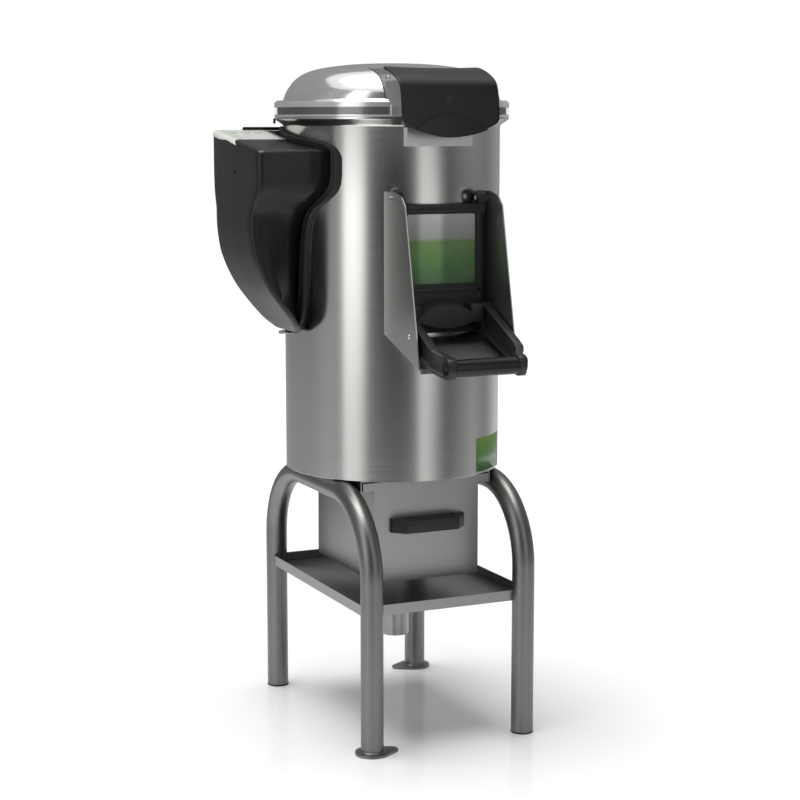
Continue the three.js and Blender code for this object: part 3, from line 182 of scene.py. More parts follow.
paper, paper_shader, _ = new_finish("studio_paper")
feed(paper_shader, Base_Color=(1, 1, 1), Roughness=0.16, Specular_IOR_Level=1.0)
floor_shape = bmesh.new()
bmesh.ops.create_grid(floor_shape, x_segments=1, y_segments=1, size=FLOOR_SIZE / 2)
staged("studio_floor", floor_shape, paper)

# The tones of the ring, from behind the machine round past the camera: its lower and its upper part.
FLAT_TONES = (  # bearing from the camera in degrees, low tone, high tone
    (-180, 0.40, 0.28), (-139, 0.37, 0.24), (-88, 0.38, 0.26), (-70, 0.47, 0.40), (-57, 0.40, 0.34),
    (-52, 0.44, 0.40), (-48, 1.18, 1.9), (-35, 1.02, 1.9), (-29, 0.72, 1.5), (-24, 0.26, 0.30),
    (-17, 0.20, 0.12), (-4, 0.13, 0.045), (8, 0.12, 0.03), (18, 0.16, 0.07), (25, 0.30, 0.4),
    (29, 0.88, 1.15), (35, 0.84, 1.1), (44, 0.47, 1.0), (50, 0.24, 0.4), (58, 0.13, 0.10),
    (74, 0.27, 0.22), (92, 0.46, 0.27), (113, 0.29, 0.25), (143, 0.75, 0.4), (180, 0.40, 0.28))
FLAT_TONE_HEIGHTS = (0.25, 0.85)
flats_finish = bpy.data.materials.new("studio_flats")
flats_finish.use_nodes = True
flats_tree = flats_finish.node_tree
flats_tree.nodes.remove(flats_tree.nodes["Principled BSDF"])
flat = Wire(flats_tree)
place = flat.node("UVMap", {"uv_map": "round"})
bearing = flat.node("SeparateXYZ", Vector=place)
height = flat.node("SeparateXYZ", output=1, Vector=place)
low_strips, high_strips = [
    flat.node("ValToRGB", {"stops": [(0.5 + row[0] / 360, row[column]) for row in FLAT_TONES]}, Fac=bearing)
    for column in (1, 2)]
strips = height.between(*FLAT_TONE_HEIGHTS).mix(low_strips, high_strips)
glow = flat.node("Emission", Color=strips, Strength=1.0)
flats_tree.links.new(glow.socket, flats_tree.nodes["Material Output"].inputs["Surface"])
camera_bearing = math.atan2(CAMERA_FROM_AXIS.y, CAMERA_FROM_AXIS.x)
flats_shape = bmesh.new()
behind = Vector((-math.cos(camera_bearing), -math.sin(camera_bearing), 0))
flats_foot = flats_shape.verts.new(AXIS + behind * FLATS_RADIUS)
flats_head = flats_shape.verts.new(flats_foot.co + Vector((0, 0, FLATS_HEIGHT)))
flats_side = flats_shape.edges.new((flats_foot, flats_head))
bmesh.ops.spin(flats_shape, geom=[flats_foot, flats_head, flats_side], cent=AXIS, axis=(0, 0, 1),
               angle=2 * math.pi, steps=FLATS_STEPS, use_merge=True)
round_layer = flats_shape.loops.layers.uv.new("round")
for panel in flats_shape.faces:
    middle = panel.calc_center_median() - AXIS
    panel_turn = (math.atan2(middle.y, middle.x) - camera_bearing) % (2 * math.pi)
    for corner in panel.loops:
        arm = corner.vert.co - AXIS
        turn = (math.atan2(arm.y, arm.x) - camera_bearing - panel_turn + math.pi) % (2 * math.pi) - math.pi
        from_behind = (panel_turn + math.pi) % (2 * math.pi) + turn
        corner[round_layer].uv = (from_behind / (2 * math.pi), arm.z)
flats = staged("studio_flats", flats_shape, flats_finish)
flats.visible_camera = False
flats.visible_diffuse = False
flats.visible_transmission = False
flats.visible_shadow = False

# Lamps: a broad light from above, a little from the left, that also lays the shadow on the floor, and
# a weak soft box on the left.
TOP_LIGHT_STRENGTH = 3.1
TOP_LIGHT_SPREAD = math.radians(44)
TOP_LIGHT_FROM = Vector((-0.12, 0.07, 1))
SOFT_BOX_PLACE = Vector((-2.6, -1.2, 1.9))
SOFT_BOX_AIM = Vector((0, 0, 0.9))
SOFT_BOX_SIZE = 1.6
SOFT_BOX_POWER = 9
top_data = bpy.data.lights.new("top_light", "SUN")
top_data.energy = TOP_LIGHT_STRENGTH
top_data.angle = TOP_LIGHT_SPREAD
top_light = bpy.data.objects.new("top_light", top_data)
top_light.rotation_euler = TOP_LIGHT_FROM.to_track_quat("Z", "Y").to_euler()
bpy.context.collection.objects.link(top_light)
box_data = bpy.data.lights.new("soft_box", "AREA")
box_data.shape = "SQUARE"
box_data.size = SOFT_BOX_SIZE
box_data.energy = SOFT_BOX_POWER
soft_box = bpy.data.objects.new("soft_box", box_data)
soft_box.location = AXIS + SOFT_BOX_PLACE
soft_box.rotation_euler = (SOFT_BOX_PLACE - SOFT_BOX_AIM).to_track_quat("Z", "Y").to_euler()
soft_box.visible_camera = False
bpy.context.collection.objects.link(soft_box)

# Stand: two stainless tubes with a satin finish, each bent twice into a pair of legs. Drawn out from
# the front foot as a ring, spun through both bends and closed at the ends.
TUBE_RADIUS = 20
TUBE_SPREAD = 148
LEG_SPREAD = 228.6
STAND_SETBACK = -13
CROWN = 445.2
BEND = 140
FLANGE_FOOT = 5.3  # where a leg ends over a flange, and over a cap
CAP_FOOT = 3.3
TO_METRES = Matrix.Translation(AXIS) @ Matrix.Scale(MM, 4)


def put_on(name, shape, finish, body, slot, *nodes, sharp=32):
    """Brings a finished shape to metres, and makes it a piece that rides on a body."""
    bmesh.ops.remove_doubles(shape, verts=shape.verts, dist=0.0005)
    bmesh.ops.recalc_face_normals(shape, faces=shape.faces)
    bmesh.ops.transform(shape, matrix=TO_METRES, verts=shape.verts)
    mesh = bpy.data.meshes.new(name)
    shape.to_mesh(mesh)
    shape.free()
    mesh.materials.append(finish)
    mesh.shade_smooth()
    mesh.set_sharp_from_angle(angle=math.radians(sharp))
    made = bpy.data.objects.new(name, mesh)
    bpy.context.collection.objects.link(made)
    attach(made, body)
    if nodes:
        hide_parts(*nodes)
    return made


def dress(finish, *nodes):
    """Gives solids of the frame a finish."""
    for node in nodes:
        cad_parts[node].data.materials.clear()
        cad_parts[node].data.materials.append(finish)


def draw_out(shape, edges, way):
    """Extrudes a loop of edges along a line, and returns the loop at its end."""
    grown = bmesh.ops.extrude_edge_only(shape, edges=edges)["geom"]
    moved = [part for part in grown if isinstance(part, bmesh.types.BMVert)]
    bmesh.ops.translate(shape, vec=way, verts=moved)
    return [part for part in grown if isinstance(part, bmesh.types.BMEdge)]


def satin(name, color, roughness, stretch, streak=0.05):
    """Stainless steel with fine brushed streaks; stretch is smallest along the streaks."""
    material, shader, wire = new_finish(name)
    place = wire.node("TexCoord", output=3)
    drawn = wire.node("Mapping", Vector=place, Scale=stretch)
    grain = wire.node("TexNoise", Vector=drawn, Scale=1.0, Detail=6.0, Roughness=0.6)
    cloud = wire.node("TexNoise", Vector=place, Scale=7.0, Detail=3.0)
    shade = (grain - 0.5) * (2 * streak) + (cloud - 0.5) * streak + 1
    tone = wire.node("VectorMath", {"operation": "SCALE"}, _0=color, Scale=shade)
    bump = wire.node("Bump", Height=grain, Strength=0.03, Distance=0.0004)
    feed(shader, Base_Color=tone, Roughness=(grain - 0.5) * 0.14 + roughness, Metallic=1.0, Normal=bump)
    return material


tube_finish = satin("satin_tube", (0.20, 0.20, 0.194), 0.38, (900, 900, 14), streak=0.03)
for side, sign in (("left", -1), ("right", 1)):
    front_foot, back_foot = (FLANGE_FOOT, CAP_FOOT) if sign < 0 else (CAP_FOOT, FLANGE_FOOT)
    tube = bmesh.new()
    front = STAND_SETBACK - LEG_SPREAD
    back = STAND_SETBACK + LEG_SPREAD
    bmesh.ops.create_circle(tube, segments=40, radius=TUBE_RADIUS,
                            matrix=Matrix.Translation((sign * TUBE_SPREAD, front, front_foot)))
    end = draw_out(tube, list(tube.edges), (0, 0, CROWN - BEND - front_foot))
    for centre_y, run in ((front + BEND, (0, back - front - 2 * BEND, 0)),
                          (back - BEND, (0, 0, back_foot - CROWN + BEND))):
        ring = list({vert for edge in end for vert in edge.verts}) + end
        turned = bmesh.ops.spin(tube, geom=ring, cent=(0, centre_y, CROWN - BEND), axis=(-1, 0, 0),
                                angle=math.pi / 2, steps=18)["geom_last"]
        end = draw_out(tube, [part for part in turned if isinstance(part, bmesh.types.BMEdge)], run)
    bmesh.ops.remove_doubles(tube, verts=tube.verts, dist=0.001)
    bmesh.ops.holes_fill(tube, edges=tube.edges)
    put_on(f"tube_{side}", tube, tube_finish, "body", "satin_steel_tube", f"stand_tube_{side}")

# Feet: a plate with one bolt lug is welded under the front left and rear right legs, and the other
# two legs end in a black cap. The plate is the hull of two short cylinders with a softened edge.
FLANGE_RADIUS = 30
LUG_RADIUS = 11.5
LUG_REACH = 37
FLANGE_THICKNESS = 5
FLANGE_EDGE = 0.8
WELD_RADIUS = 2.2
WELD_OUT = 0.6
WELD_RISE = 0.4


def soften(shape, edges, width, segments=3):
    """Rounds edges of a shape."""
    bmesh.ops.bevel(shape, geom=list(edges), offset=width, segments=segments, affect="EDGES", profile=0.5,
                    material=-1, clamp_overlap=True)


for side, sign in (("front_left", -1), ("back_right", 1)):
    y = STAND_SETBACK + sign * LEG_SPREAD
    foot = bmesh.new()
    for radius, reach in ((FLANGE_RADIUS, 0), (LUG_RADIUS, LUG_REACH)):
        bmesh.ops.create_cone(foot, cap_ends=False, segments=48, radius1=radius, radius2=radius,
                              depth=FLANGE_THICKNESS, matrix=Matrix.Translation(
                                  (sign * (TUBE_SPREAD - reach), y, FLANGE_THICKNESS / 2)))
    bmesh.ops.delete(foot, geom=list(foot.faces), context="FACES_ONLY")
    hull = bmesh.ops.convex_hull(foot, input=foot.verts)
    bmesh.ops.delete(foot, geom=[part for part in hull["geom_interior"] if part.is_valid], context="VERTS")
    bmesh.ops.dissolve_limit(foot, angle_limit=0.01, verts=foot.verts, edges=foot.edges)
    rim = [edge for edge in foot.edges if all(vert.co.z > FLANGE_THICKNESS - 0.01 for vert in edge.verts)]
    soften(foot, rim, FLANGE_EDGE, 2)
    weld_place = (sign * (TUBE_SPREAD + TUBE_RADIUS + WELD_OUT), y, FLANGE_THICKNESS + WELD_RISE)
    weld = bmesh.ops.create_circle(foot, segments=12, radius=WELD_RADIUS,
                                   matrix=Matrix.Translation(weld_place)
                                   @ Matrix.Rotation(math.pi / 2, 4, "X"))["verts"]
    weld_edges = list({edge for vert in weld for edge in vert.link_edges})
    bmesh.ops.spin(foot, geom=weld + weld_edges, cent=(sign * TUBE_SPREAD, y, 0), axis=(0, 0, 1),
                   angle=2 * math.pi, steps=48, use_merge=True)
    put_on(f"foot_{side}", foot, tube_finish, "body", "satin_steel_tube", f"foot_flange_{side}")
cap_finish, cap_shader, cap_wire = new_finish("foot_rubber")
speck = cap_wire.node("TexNoise", Vector=cap_wire.node("TexCoord", output=3), Scale=900.0)
feed(cap_shader, Base_Color=speck.mix((0.012, 0.012, 0.013), (0.03, 0.03, 0.031)), Roughness=0.62,
     Normal=cap_wire.node("Bump", Height=speck, Strength=0.2, Distance=0.0003))
dress(cap_finish, "foot_cap_front_right", "foot_cap_back_left")
dress(tube_finish, "stand_crossbar")

# Drip pan: a folded sheet tray between the legs, which keeps its solid. A loose sheet with one sharp
# fold lies over its drain, and the drain pipe below it is made again as a smooth open tube.
FOLD_CORNERS = ((-158, -234, 256), (-101, -234, 246.8), (158, -234, 247.6), (30, 42, 235.5),
                (-158, 208, 247.6), (158, 208, 247.6))
FOLD_FACETS = ((0, 1, 3), (0, 3, 4), (1, 2, 3), (2, 5, 3), (4, 3, 5))
FOLD_SHEET = 1
DRAIN_RADIUS = 25.3
DRAIN_LENGTH = 84
DRAIN_EDGE = 0.5
DRAIN_WALL = 2.4
pan_finish = satin("pan_sheet", (0.27, 0.27, 0.262), 0.3, (500, 14, 500), streak=0.03)
dress(pan_finish, "drip_pan")
fold = bmesh.new()
fold_corners = [fold.verts.new(corner) for corner in FOLD_CORNERS]
for facet in FOLD_FACETS:
    fold.faces.new([fold_corners[number] for number in facet])
bmesh.ops.solidify(fold, geom=list(fold.faces), thickness=FOLD_SHEET)
put_on("pan_fold", fold, pan_finish, "body", "satin_steel_tube", sharp=10)


def extent(node):
    """The lowest and highest corners of a solid, in millimetres about the drum's axis."""
    low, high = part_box(node)
    return (low - AXIS) / MM, (high - AXIS) / MM


def upright(shape, radius, bottom, top, centre, segments, edge):
    """Adds a closed upright cylinder to a shape, its two rims softened."""
    made = bmesh.ops.create_cone(shape, cap_ends=True, segments=segments, radius1=radius, radius2=radius,
                                 depth=top - bottom,
                                 matrix=Matrix.Translation((*centre, (bottom + top) / 2)))["verts"]
    soften(shape, {line for vert in made for line in vert.link_edges
                   if abs(line.verts[0].co.z - line.verts[1].co.z) < 0.001}, edge)


pan_low, _ = extent("drip_pan")
drain = bmesh.new()
upright(drain, DRAIN_RADIUS, pan_low.z, pan_low.z + DRAIN_LENGTH, (0, STAND_SETBACK), 48, DRAIN_EDGE)
bmesh.ops.delete(drain, geom=[face for face in drain.faces if len(face.verts) > 8], context="FACES_ONLY")
drain_pipe = put_on("drain_pipe", drain, pan_finish, "body", "satin_steel_tube")
drain_pipe.modifiers.new("wall", "SOLIDIFY").thickness = DRAIN_WALL * MM

# Filter drawer: a folded stainless box with a flat front on two channel rails, a slotted screen in
# it, and a black moulded handle. The handle is an outline drawn out and rounded, except at its back.
PULL_HALF_WIDTH = 71.5
PULL_TURN = 20
PULL_FOOT = 19
PULL_BAR = 13
PULL_EDGE = 3.2
drawer_finish = satin("drawer_sheet", (0.33, 0.33, 0.322), 0.33, (10, 500, 700), streak=0.03)
dress(drawer_finish, "drawer_box", "drawer_front", "filter_screen", "drawer_rail_left", "drawer_rail_right")


def moulded(name, low, high, roughness, grain=900.0, depth=0.0002):
    """Moulded plastic with a fine grain; its two tones follow slow clouds over the piece."""
    material, shader, wire = new_finish(name)
    place = wire.node("TexCoord", output=3)
    fine = wire.node("TexNoise", Vector=place, Scale=grain, Detail=2.0)
    cloud = wire.node("TexNoise", Vector=place, Scale=9.0, Detail=4.0)
    feed(shader, Base_Color=low if low == high else cloud.mix(low, high),
         Roughness=(cloud - 0.5) * 0.16 + roughness, Specular_IOR_Level=0.3,
         Normal=wire.node("Bump", Height=fine, Strength=0.25, Distance=depth))
    return material


def slab(shape, points, way, plane):
    """Adds an outline of a few points, drawn in a plane, and draws it out; plane maps a point to space."""
    face = shape.faces.new([shape.verts.new(plane(*point)) for point in points])
    grown = bmesh.ops.extrude_face_region(shape, geom=[face])["geom"]
    moved = [part for part in grown if isinstance(part, bmesh.types.BMVert)]
    bmesh.ops.translate(shape, vec=way, verts=moved)
    return [face] + [part for part in grown if isinstance(part, bmesh.types.BMFace)]


handle_finish = moulded("drawer_pull", (0.011, 0.011, 0.012), (0.02, 0.02, 0.021), 0.42)
pull_low, pull_high = extent("drawer_handle")
pull = bmesh.new()
pull_half = [(PULL_HALF_WIDTH - PULL_TURN, pull_low.y), (PULL_HALF_WIDTH, pull_low.y + PULL_TURN),
             (PULL_HALF_WIDTH, pull_high.y), (PULL_HALF_WIDTH - PULL_FOOT, pull_high.y),
             (PULL_HALF_WIDTH - PULL_FOOT, pull_low.y + PULL_BAR)]
slab(pull, pull_half + [(-x, y) for x, y in reversed(pull_half)], (0, 0, pull_high.z - pull_low.z),
     lambda x, y: (x, y, pull_low.z))
soften(pull, [edge for edge in pull.edges
              if max(vert.co.y for vert in edge.verts) < pull_high.y - 1], PULL_EDGE)
put_on("drawer_pull", pull, handle_finish, "drawer", "black_plastic", "drawer_handle")

# Drum: a rolled stainless shell, brushed round and round, with a flared and folded top edge. One
# profile spun about the axis, and its wall opened behind the door.
SHELL_RADIUS = 195.6
SHELL_WALL = 2
SHELL_BOTTOM = 465.5
SHELL_TOP = 1099.9
MOUTH_BOTTOM = 740
MOUTH_TOP = 926
SHELL_EDGE = (0.5, 0.6)
FLARE_LINE = ((195.6, 1083.5), (196.6, 1085.6), (199.2, 1088), (205, 1091.8), (209.6, 1094.8),
              (211.2, 1096.4), (211.5, 1098), (210.9, 1099.9))
SHELL_STEPS = 192
MOUTH_STEPS = 11
shell_inner = SHELL_RADIUS - SHELL_WALL
steel_finish = satin("brushed_shell", (0.56, 0.56, 0.545), 0.2, (9, 9, 900), streak=0.035)
shell = bmesh.new()
profile = [(shell_inner, SHELL_BOTTOM), (SHELL_RADIUS - SHELL_EDGE[0], SHELL_BOTTOM),
           (SHELL_RADIUS, SHELL_BOTTOM + SHELL_EDGE[1]), (SHELL_RADIUS, MOUTH_BOTTOM),
           (SHELL_RADIUS, MOUTH_TOP), *FLARE_LINE, (shell_inner, SHELL_TOP), (shell_inner, MOUTH_TOP),
           (shell_inner, MOUTH_BOTTOM)]


def spun(shape, line, steps):
    """Spins a closed line of radius and height points all the way round the drum's axis."""
    corners = [shape.verts.new((0, -radius, height)) for radius, height in line]
    edges = [shape.edges.new(pair) for pair in zip(corners, corners[1:] + corners[:1])]
    bmesh.ops.spin(shape, geom=corners + edges, cent=(0, 0, 0), axis=(0, 0, 1), angle=2 * math.pi,
                   steps=steps, use_merge=True)


spun(shell, profile, SHELL_STEPS)
mouth_reach = SHELL_RADIUS * math.sin(math.radians(360 / SHELL_STEPS * MOUTH_STEPS)) + 0.5
mouth = [face for face in shell.faces if face.calc_center_median().y < 0
         and abs(face.calc_center_median().x) < mouth_reach
         and MOUTH_BOTTOM < face.calc_center_median().z < MOUTH_TOP]
bmesh.ops.delete(shell, geom=mouth, context="FACES")
bmesh.ops.bridge_loops(shell, edges=[edge for edge in shell.edges if edge.is_boundary])
put_on("rolled_shell", shell, steel_finish, "body", "brushed_steel", "drum_shell")
dress(steel_finish, "drum_base", "chamber_floor", "motor_shelf")

# Label on the drum, low on the right: a plain plastic film in a green that pales upwards. An upright
# line spun a little way round, a hair in front of the shell, and given the film's thickness.
LABEL_FROM = math.radians(-63.9)
LABEL_TURN = math.radians(30)
LABEL_BOTTOM = 470.2
LABEL_TOP = 531
LABEL_STAND = 0.35
LABEL_SHEET = 0.25
LABEL_STOPS = ((0, (0.018, 0.075, 0.014)), (0.45, (0.045, 0.15, 0.022)), (1, (0.13, 0.27, 0.035)))


def faded(name, stops, high, low, sheen_bands=()):
    """Film printed with a fade between two heights, and with upright bands of painted sheen that lighten it
    where a reflection would lie; all in metres.
    """
    material, shader, wire = new_finish(name)
    place = wire.node("TexCoord", output=3)
    height = wire.node("SeparateXYZ", output=2, Vector=place)
    share = (height - low) * (1 / (high - low))
    fade = wire.node("ValToRGB", {"stops": stops}, Fac=share)
    speck = wire.node("TexNoise", Vector=place, Scale=40.0, Detail=3.0)
    sideways = wire.node("SeparateXYZ", Vector=place)
    tone = (speck * 0.05).mix(fade, (0.85, 0.9, 0.82))
    # Each band lightens the film's colour: painted sheen, standing in for a reflection.
    for start, end, gain in sheen_bands:
        strip = sideways.between(start, start + 0.016) * (1 - sideways.between(end - 0.016, end))
        tone = wire.node("VectorMath", {"operation": "SCALE"}, _0=tone, Scale=strip * gain + 1)
    feed(shader, Base_Color=tone, Roughness=(speck - 0.5) * 0.1 + 0.3, Specular_IOR_Level=0.3)
    return material


drum_label_finish = faded("drum_film", LABEL_STOPS, LABEL_TOP * MM, LABEL_BOTTOM * MM)
label = bmesh.new()
label_reach = SHELL_RADIUS + LABEL_STAND
label_place = (label_reach * math.cos(LABEL_FROM), label_reach * math.sin(LABEL_FROM))
label_low = label.verts.new((*label_place, LABEL_BOTTOM))
label_high = label.verts.new((*label_place, LABEL_TOP))
label_side = label.edges.new((label_low, label_high))
bmesh.ops.spin(label, geom=[label_low, label_high, label_side], cent=(0, 0, 0), axis=(0, 0, 1),
               angle=LABEL_TURN, steps=16)
drum_film = put_on("drum_film", label, drum_label_finish, "body", "green_label")
drum_film.modifiers.new("film", "SOLIDIFY").thickness = LABEL_SHEET * MM

# Peeling chamber and drive: the lining and the turning disc are coated with abrasive grit, the disc
# is held by a cap nut, and the motor, pulleys and belt stand under the chamber floor.
grit_finish, grit_shader, grit_wire = new_finish("abrasive_grit")
grit_place = grit_wire.node("TexCoord", output=3)
grains = grit_wire.node("TexVoronoi", Vector=grit_place, Scale=420.0)
worn = grit_wire.node("TexNoise", Vector=grit_place, Scale=14.0, Detail=5.0)
feed(grit_shader, Base_Color=(grains * 1.4).mix((0.035, 0.037, 0.042), (0.13, 0.13, 0.135)),
     Roughness=(worn - 0.5) * 0.3 + 0.85,
     Normal=grit_wire.node("Bump", Height=grains, Strength=0.8, Distance=0.0012))
dress(grit_finish, "abrasive_lining", "abrasive_disc")


def cast(name, color, roughness, grain=260.0):
    """Cast or painted metal with a pebbled skin."""
    material, shader, wire = new_finish(name)
    place = wire.node("TexCoord", output=3)
    pebble = wire.node("TexNoise", Vector=place, Scale=grain, Detail=4.0)
    dark = tuple(0.72 * part for part in color)
    feed(shader, Base_Color=pebble.mix(dark, color), Roughness=(pebble - 0.5) * 0.2 + roughness,
         Metallic=0.85, Normal=wire.node("Bump", Height=pebble, Strength=0.3, Distance=0.0005))
    return material


cast_finish = cast("cast_aluminium", (0.46, 0.46, 0.47), 0.5)
paint_finish = cast("motor_paint", (0.12, 0.14, 0.155), 0.55)
dress(cast_finish, "spindle_sleeve", "driven_pulley", "motor_pulley", "water_inlet")
dress(paint_finish, "motor")
dress(tube_finish, "lower_bearing", "upper_bearing", "spindle", "motor_shaft", "lid_pin")
belt_finish = moulded("belt_rubber", (0.012, 0.012, 0.012), (0.028, 0.028, 0.028), 0.8, 500.0, 0.0005)
dress(belt_finish, "drive_belt")
black_finish = moulded("black_moulding", (0.012, 0.012, 0.013), (0.021, 0.021, 0.0225), 0.40)
grey_finish = moulded("grey_moulding", (0.36, 0.365, 0.37), (0.45, 0.455, 0.46), 0.42)
dress(black_finish, "disc_nut", "lid_switch", "cable_gland")
dress(grey_finish, "waste_pipe", "contactor", "lid_magnet")

# Chute: two folded cheek plates on the drum, a sloping sheet between them, and a black collar round
# the opening. The sheets are the solids; a small round screw is added low on each cheek.
SCREW_RADIUS = 4.2
SCREW_HEIGHT = 2.4
SCREW_PLACE = (-274, 733)
cheek_finish = satin("cheek_sheet", (0.52, 0.52, 0.51), 0.34, (500, 12, 600))
dress(cheek_finish, "chute_cheek_left", "chute_cheek_right", "chute_floor")
dress(cheek_finish, "door_pin_left", "door_pin_right")
dress(black_finish, "door_collar")
_, cheek_high = extent("chute_cheek_right")


def dome_head(shape, centre, way, radius, height):
    """Adds the round head of a screw that faces a direction."""
    turn = Vector(way).to_track_quat("Z", "X").to_matrix().to_4x4()
    bmesh.ops.create_uvsphere(shape, u_segments=20, v_segments=12, radius=1,
                              matrix=Matrix.Translation(centre) @ turn
                              @ Matrix.Diagonal((radius, radius, height, 1)))


cheek_screws = bmesh.new()
for sign in (-1, 1):
    dome_head(cheek_screws, (sign * cheek_high.x, *SCREW_PLACE), (sign, 0, 0), SCREW_RADIUS, SCREW_HEIGHT)
put_on("cheek_screws", cheek_screws, cheek_finish, "body", "brushed_steel")

# Door: a black moulded leaf hinged above the opening, with a raised frame round its label, a lip
# under it and a hooded grip below. Outlines and blocks rounded on their edges, with two hinge ears.
LEAF_HALF_WIDTH = 76.5
LEAF_TOP = 951
LEAF_FOOT = 735
LEAF_FRONT = -205
LEAF_BACK = -197.9
LEAF_SIDE_RISE = 16
LEAF_CORNER = 6
LEAF_EDGE = 1.2
LEAF_STEPS = 16
FRAME_BARS = (  # left, foot, right, head
    (-LEAF_HALF_WIDTH, 945, LEAF_HALF_WIDTH, LEAF_TOP), (-LEAF_HALF_WIDTH, 937, LEAF_HALF_WIDTH, 942.5),
    (-LEAF_HALF_WIDTH, 800, LEAF_HALF_WIDTH, 806), (-LEAF_HALF_WIDTH, 751, -69.5, 940),
    (69.5, 751, LEAF_HALF_WIDTH, 940))
FRAME_RAISE = 1.4
FRAME_ROOT = 3
FRAME_EDGE = 1.1
BACK_PANEL = ((-66, -198.9, 742), (66, -189.9, 924))
BACK_PANEL_EDGE = 1.5
HOOD_HALF_WIDTH = 72
HOOD_FRONT_HALF_WIDTH = 60
HOOD_FRONT_SHARES = (0.78, 0.55)  # of its height, above its sides and below them
HOOD_DEPTH = 30
HOOD_ROOT = 2
HOOD_SIDE = 754
HOOD_TOP = 787
HOOD_FOOT = 728.5
HOOD_EDGE = 1.6
ARM_LUG_INSIDE = 47.7
ARM_LUG_OUTSIDE = 71.7
ARM_LUG_FRONT = -230
ARM_LUG_FOOT = 747
ARM_LUG_HEAD = 779
ARM_LUG_EDGE = 2.5
HINGE = Vector((0, -197, 961))
EAR_INSIDE = 72
EAR_OUTSIDE = 86
EAR_RADIUS = 12
EAR_FOOT = 935


def shares(count):
    """The shares of a whole in even steps, from nought to one."""
    return [step / count for step in range(count + 1)]


def xz_at(y):
    """A plane that faces the front, for slab."""
    return lambda x, z: (x, y, z)


def yz_at(x):
    """A plane that faces the side, for slab."""
    return lambda y, z: (x, y, z)


def box_of(shape, low, high, width):
    """Adds a block between two corners, with rounded edges."""
    size = Vector(high) - Vector(low)
    middle = (Vector(high) + Vector(low)) / 2
    made = bmesh.ops.create_cube(shape, size=1, matrix=Matrix.Translation(middle)
                                 @ Matrix.Diagonal((*size, 1)))["verts"]
    soften(shape, {edge for vert in made for edge in vert.link_edges}, width)


def lying(shape, centre, radius, length, segments):
    """Adds a closed cylinder that lies across the machine, and returns its corners."""
    return bmesh.ops.create_cone(shape, cap_ends=True, segments=segments, radius1=radius, radius2=radius,
                                 depth=length, matrix=Matrix.Translation(centre)
                                 @ Matrix.Rotation(math.pi / 2, 4, "Y"))["verts"]


def lens_ring(shape, y, half, side, top, foot):
    """Adds a pointed oval, flat to the front: two bows that meet at its sides."""
    ring = bmesh.ops.create_circle(shape, segments=56, radius=1,
                                   matrix=Matrix.Rotation(math.pi / 2, 4, "X"))["verts"]
    for vert in ring:
        rise = vert.co.z
        reach = top - side if rise > 0 else side - foot
        vert.co = (half * vert.co.x, y, side + rise * abs(rise) * reach)
    return list({edge for vert in ring for edge in vert.link_edges})


leaf = bmesh.new()
foot_line = []
for across in [1 - 2 * share for share in shares(LEAF_STEPS)]:
    foot_line.append((LEAF_HALF_WIDTH * across, LEAF_FOOT + LEAF_SIDE_RISE * across ** 2))
slab(leaf, [(-LEAF_HALF_WIDTH, LEAF_TOP), (LEAF_HALF_WIDTH, LEAF_TOP)] + foot_line,
     (0, LEAF_FRONT - LEAF_BACK, 0), xz_at(LEAF_BACK))
soften(leaf, [edge for edge in leaf.edges if abs(edge.verts[0].co.y - edge.verts[1].co.y) > 1
              and edge.verts[0].co.z > LEAF_TOP - 1], LEAF_CORNER, 5)
soften(leaf, [edge for edge in leaf.edges if all(vert.co.y < LEAF_FRONT + 0.01 for vert in edge.verts)],
       LEAF_EDGE)
for left, foot, right, head in FRAME_BARS:
    box_of(leaf, (left, LEAF_FRONT - FRAME_RAISE, foot), (right, LEAF_FRONT + FRAME_ROOT, head), FRAME_EDGE)
box_of(leaf, *BACK_PANEL, BACK_PANEL_EDGE)
ring = lens_ring(leaf, LEAF_FRONT + HOOD_ROOT, HOOD_HALF_WIDTH, HOOD_SIDE, HOOD_TOP, HOOD_FOOT)
hood_front = draw_out(leaf, ring, (0, -HOOD_DEPTH - HOOD_ROOT, 0))
for vert in {vert for edge in hood_front for vert in edge.verts}:
    rise = vert.co.z - HOOD_SIDE
    vert.co.x *= HOOD_FRONT_HALF_WIDTH / HOOD_HALF_WIDTH
    vert.co.z = HOOD_SIDE + rise * HOOD_FRONT_SHARES[0 if rise > 0 else 1]
bmesh.ops.contextual_create(leaf, geom=hood_front)
soften(leaf, [edge for edge in hood_front if edge.is_valid], HOOD_EDGE)
for sign in (-1, 1):
    left, right = sorted((sign * EAR_INSIDE, sign * EAR_OUTSIDE))
    lying(leaf, ((left + right) / 2, HINGE.y, HINGE.z), EAR_RADIUS, right - left, 40)
    box_of(leaf, (left, LEAF_FRONT, EAR_FOOT), (right, LEAF_BACK, HINGE.z), LEAF_EDGE)
    left, right = sorted((sign * ARM_LUG_INSIDE, sign * ARM_LUG_OUTSIDE))
    box_of(leaf, (left, ARM_LUG_FRONT, ARM_LUG_FOOT), (right, LEAF_FRONT + HOOD_ROOT, ARM_LUG_HEAD),
           ARM_LUG_EDGE)
put_on("door_face", leaf, black_finish, "door", "black_plastic", "door_leaf")
DOOR_LABEL_HALF = 65
DOOR_LABEL_FOOT = 814.5
DOOR_LABEL_HEAD = 934.3
DOOR_LABEL_CORNER = 4
DOOR_LABEL_SHEET = 0.9
DOOR_LABEL_STAND = 0.1
DOOR_LABEL_STOPS = ((0, (0.022, 0.062, 0.018)), (0.3, (0.04, 0.12, 0.025)), (0.6, (0.075, 0.135, 0.035)),
                    (0.66, (0.17, 0.18, 0.165)), (1, (0.25, 0.255, 0.255)))
# The door film's band of painted sheen, lighter where a reflection lies across it.
DOOR_LABEL_SHEEN = ((AXIS.x - 0.05, AXIS.x + 0.01, 0.95),)  # from, to, and how much paler
door_label_finish = faded("door_film", DOOR_LABEL_STOPS, DOOR_LABEL_HEAD * MM, DOOR_LABEL_FOOT * MM,
                          DOOR_LABEL_SHEEN)
door_film = bmesh.new()
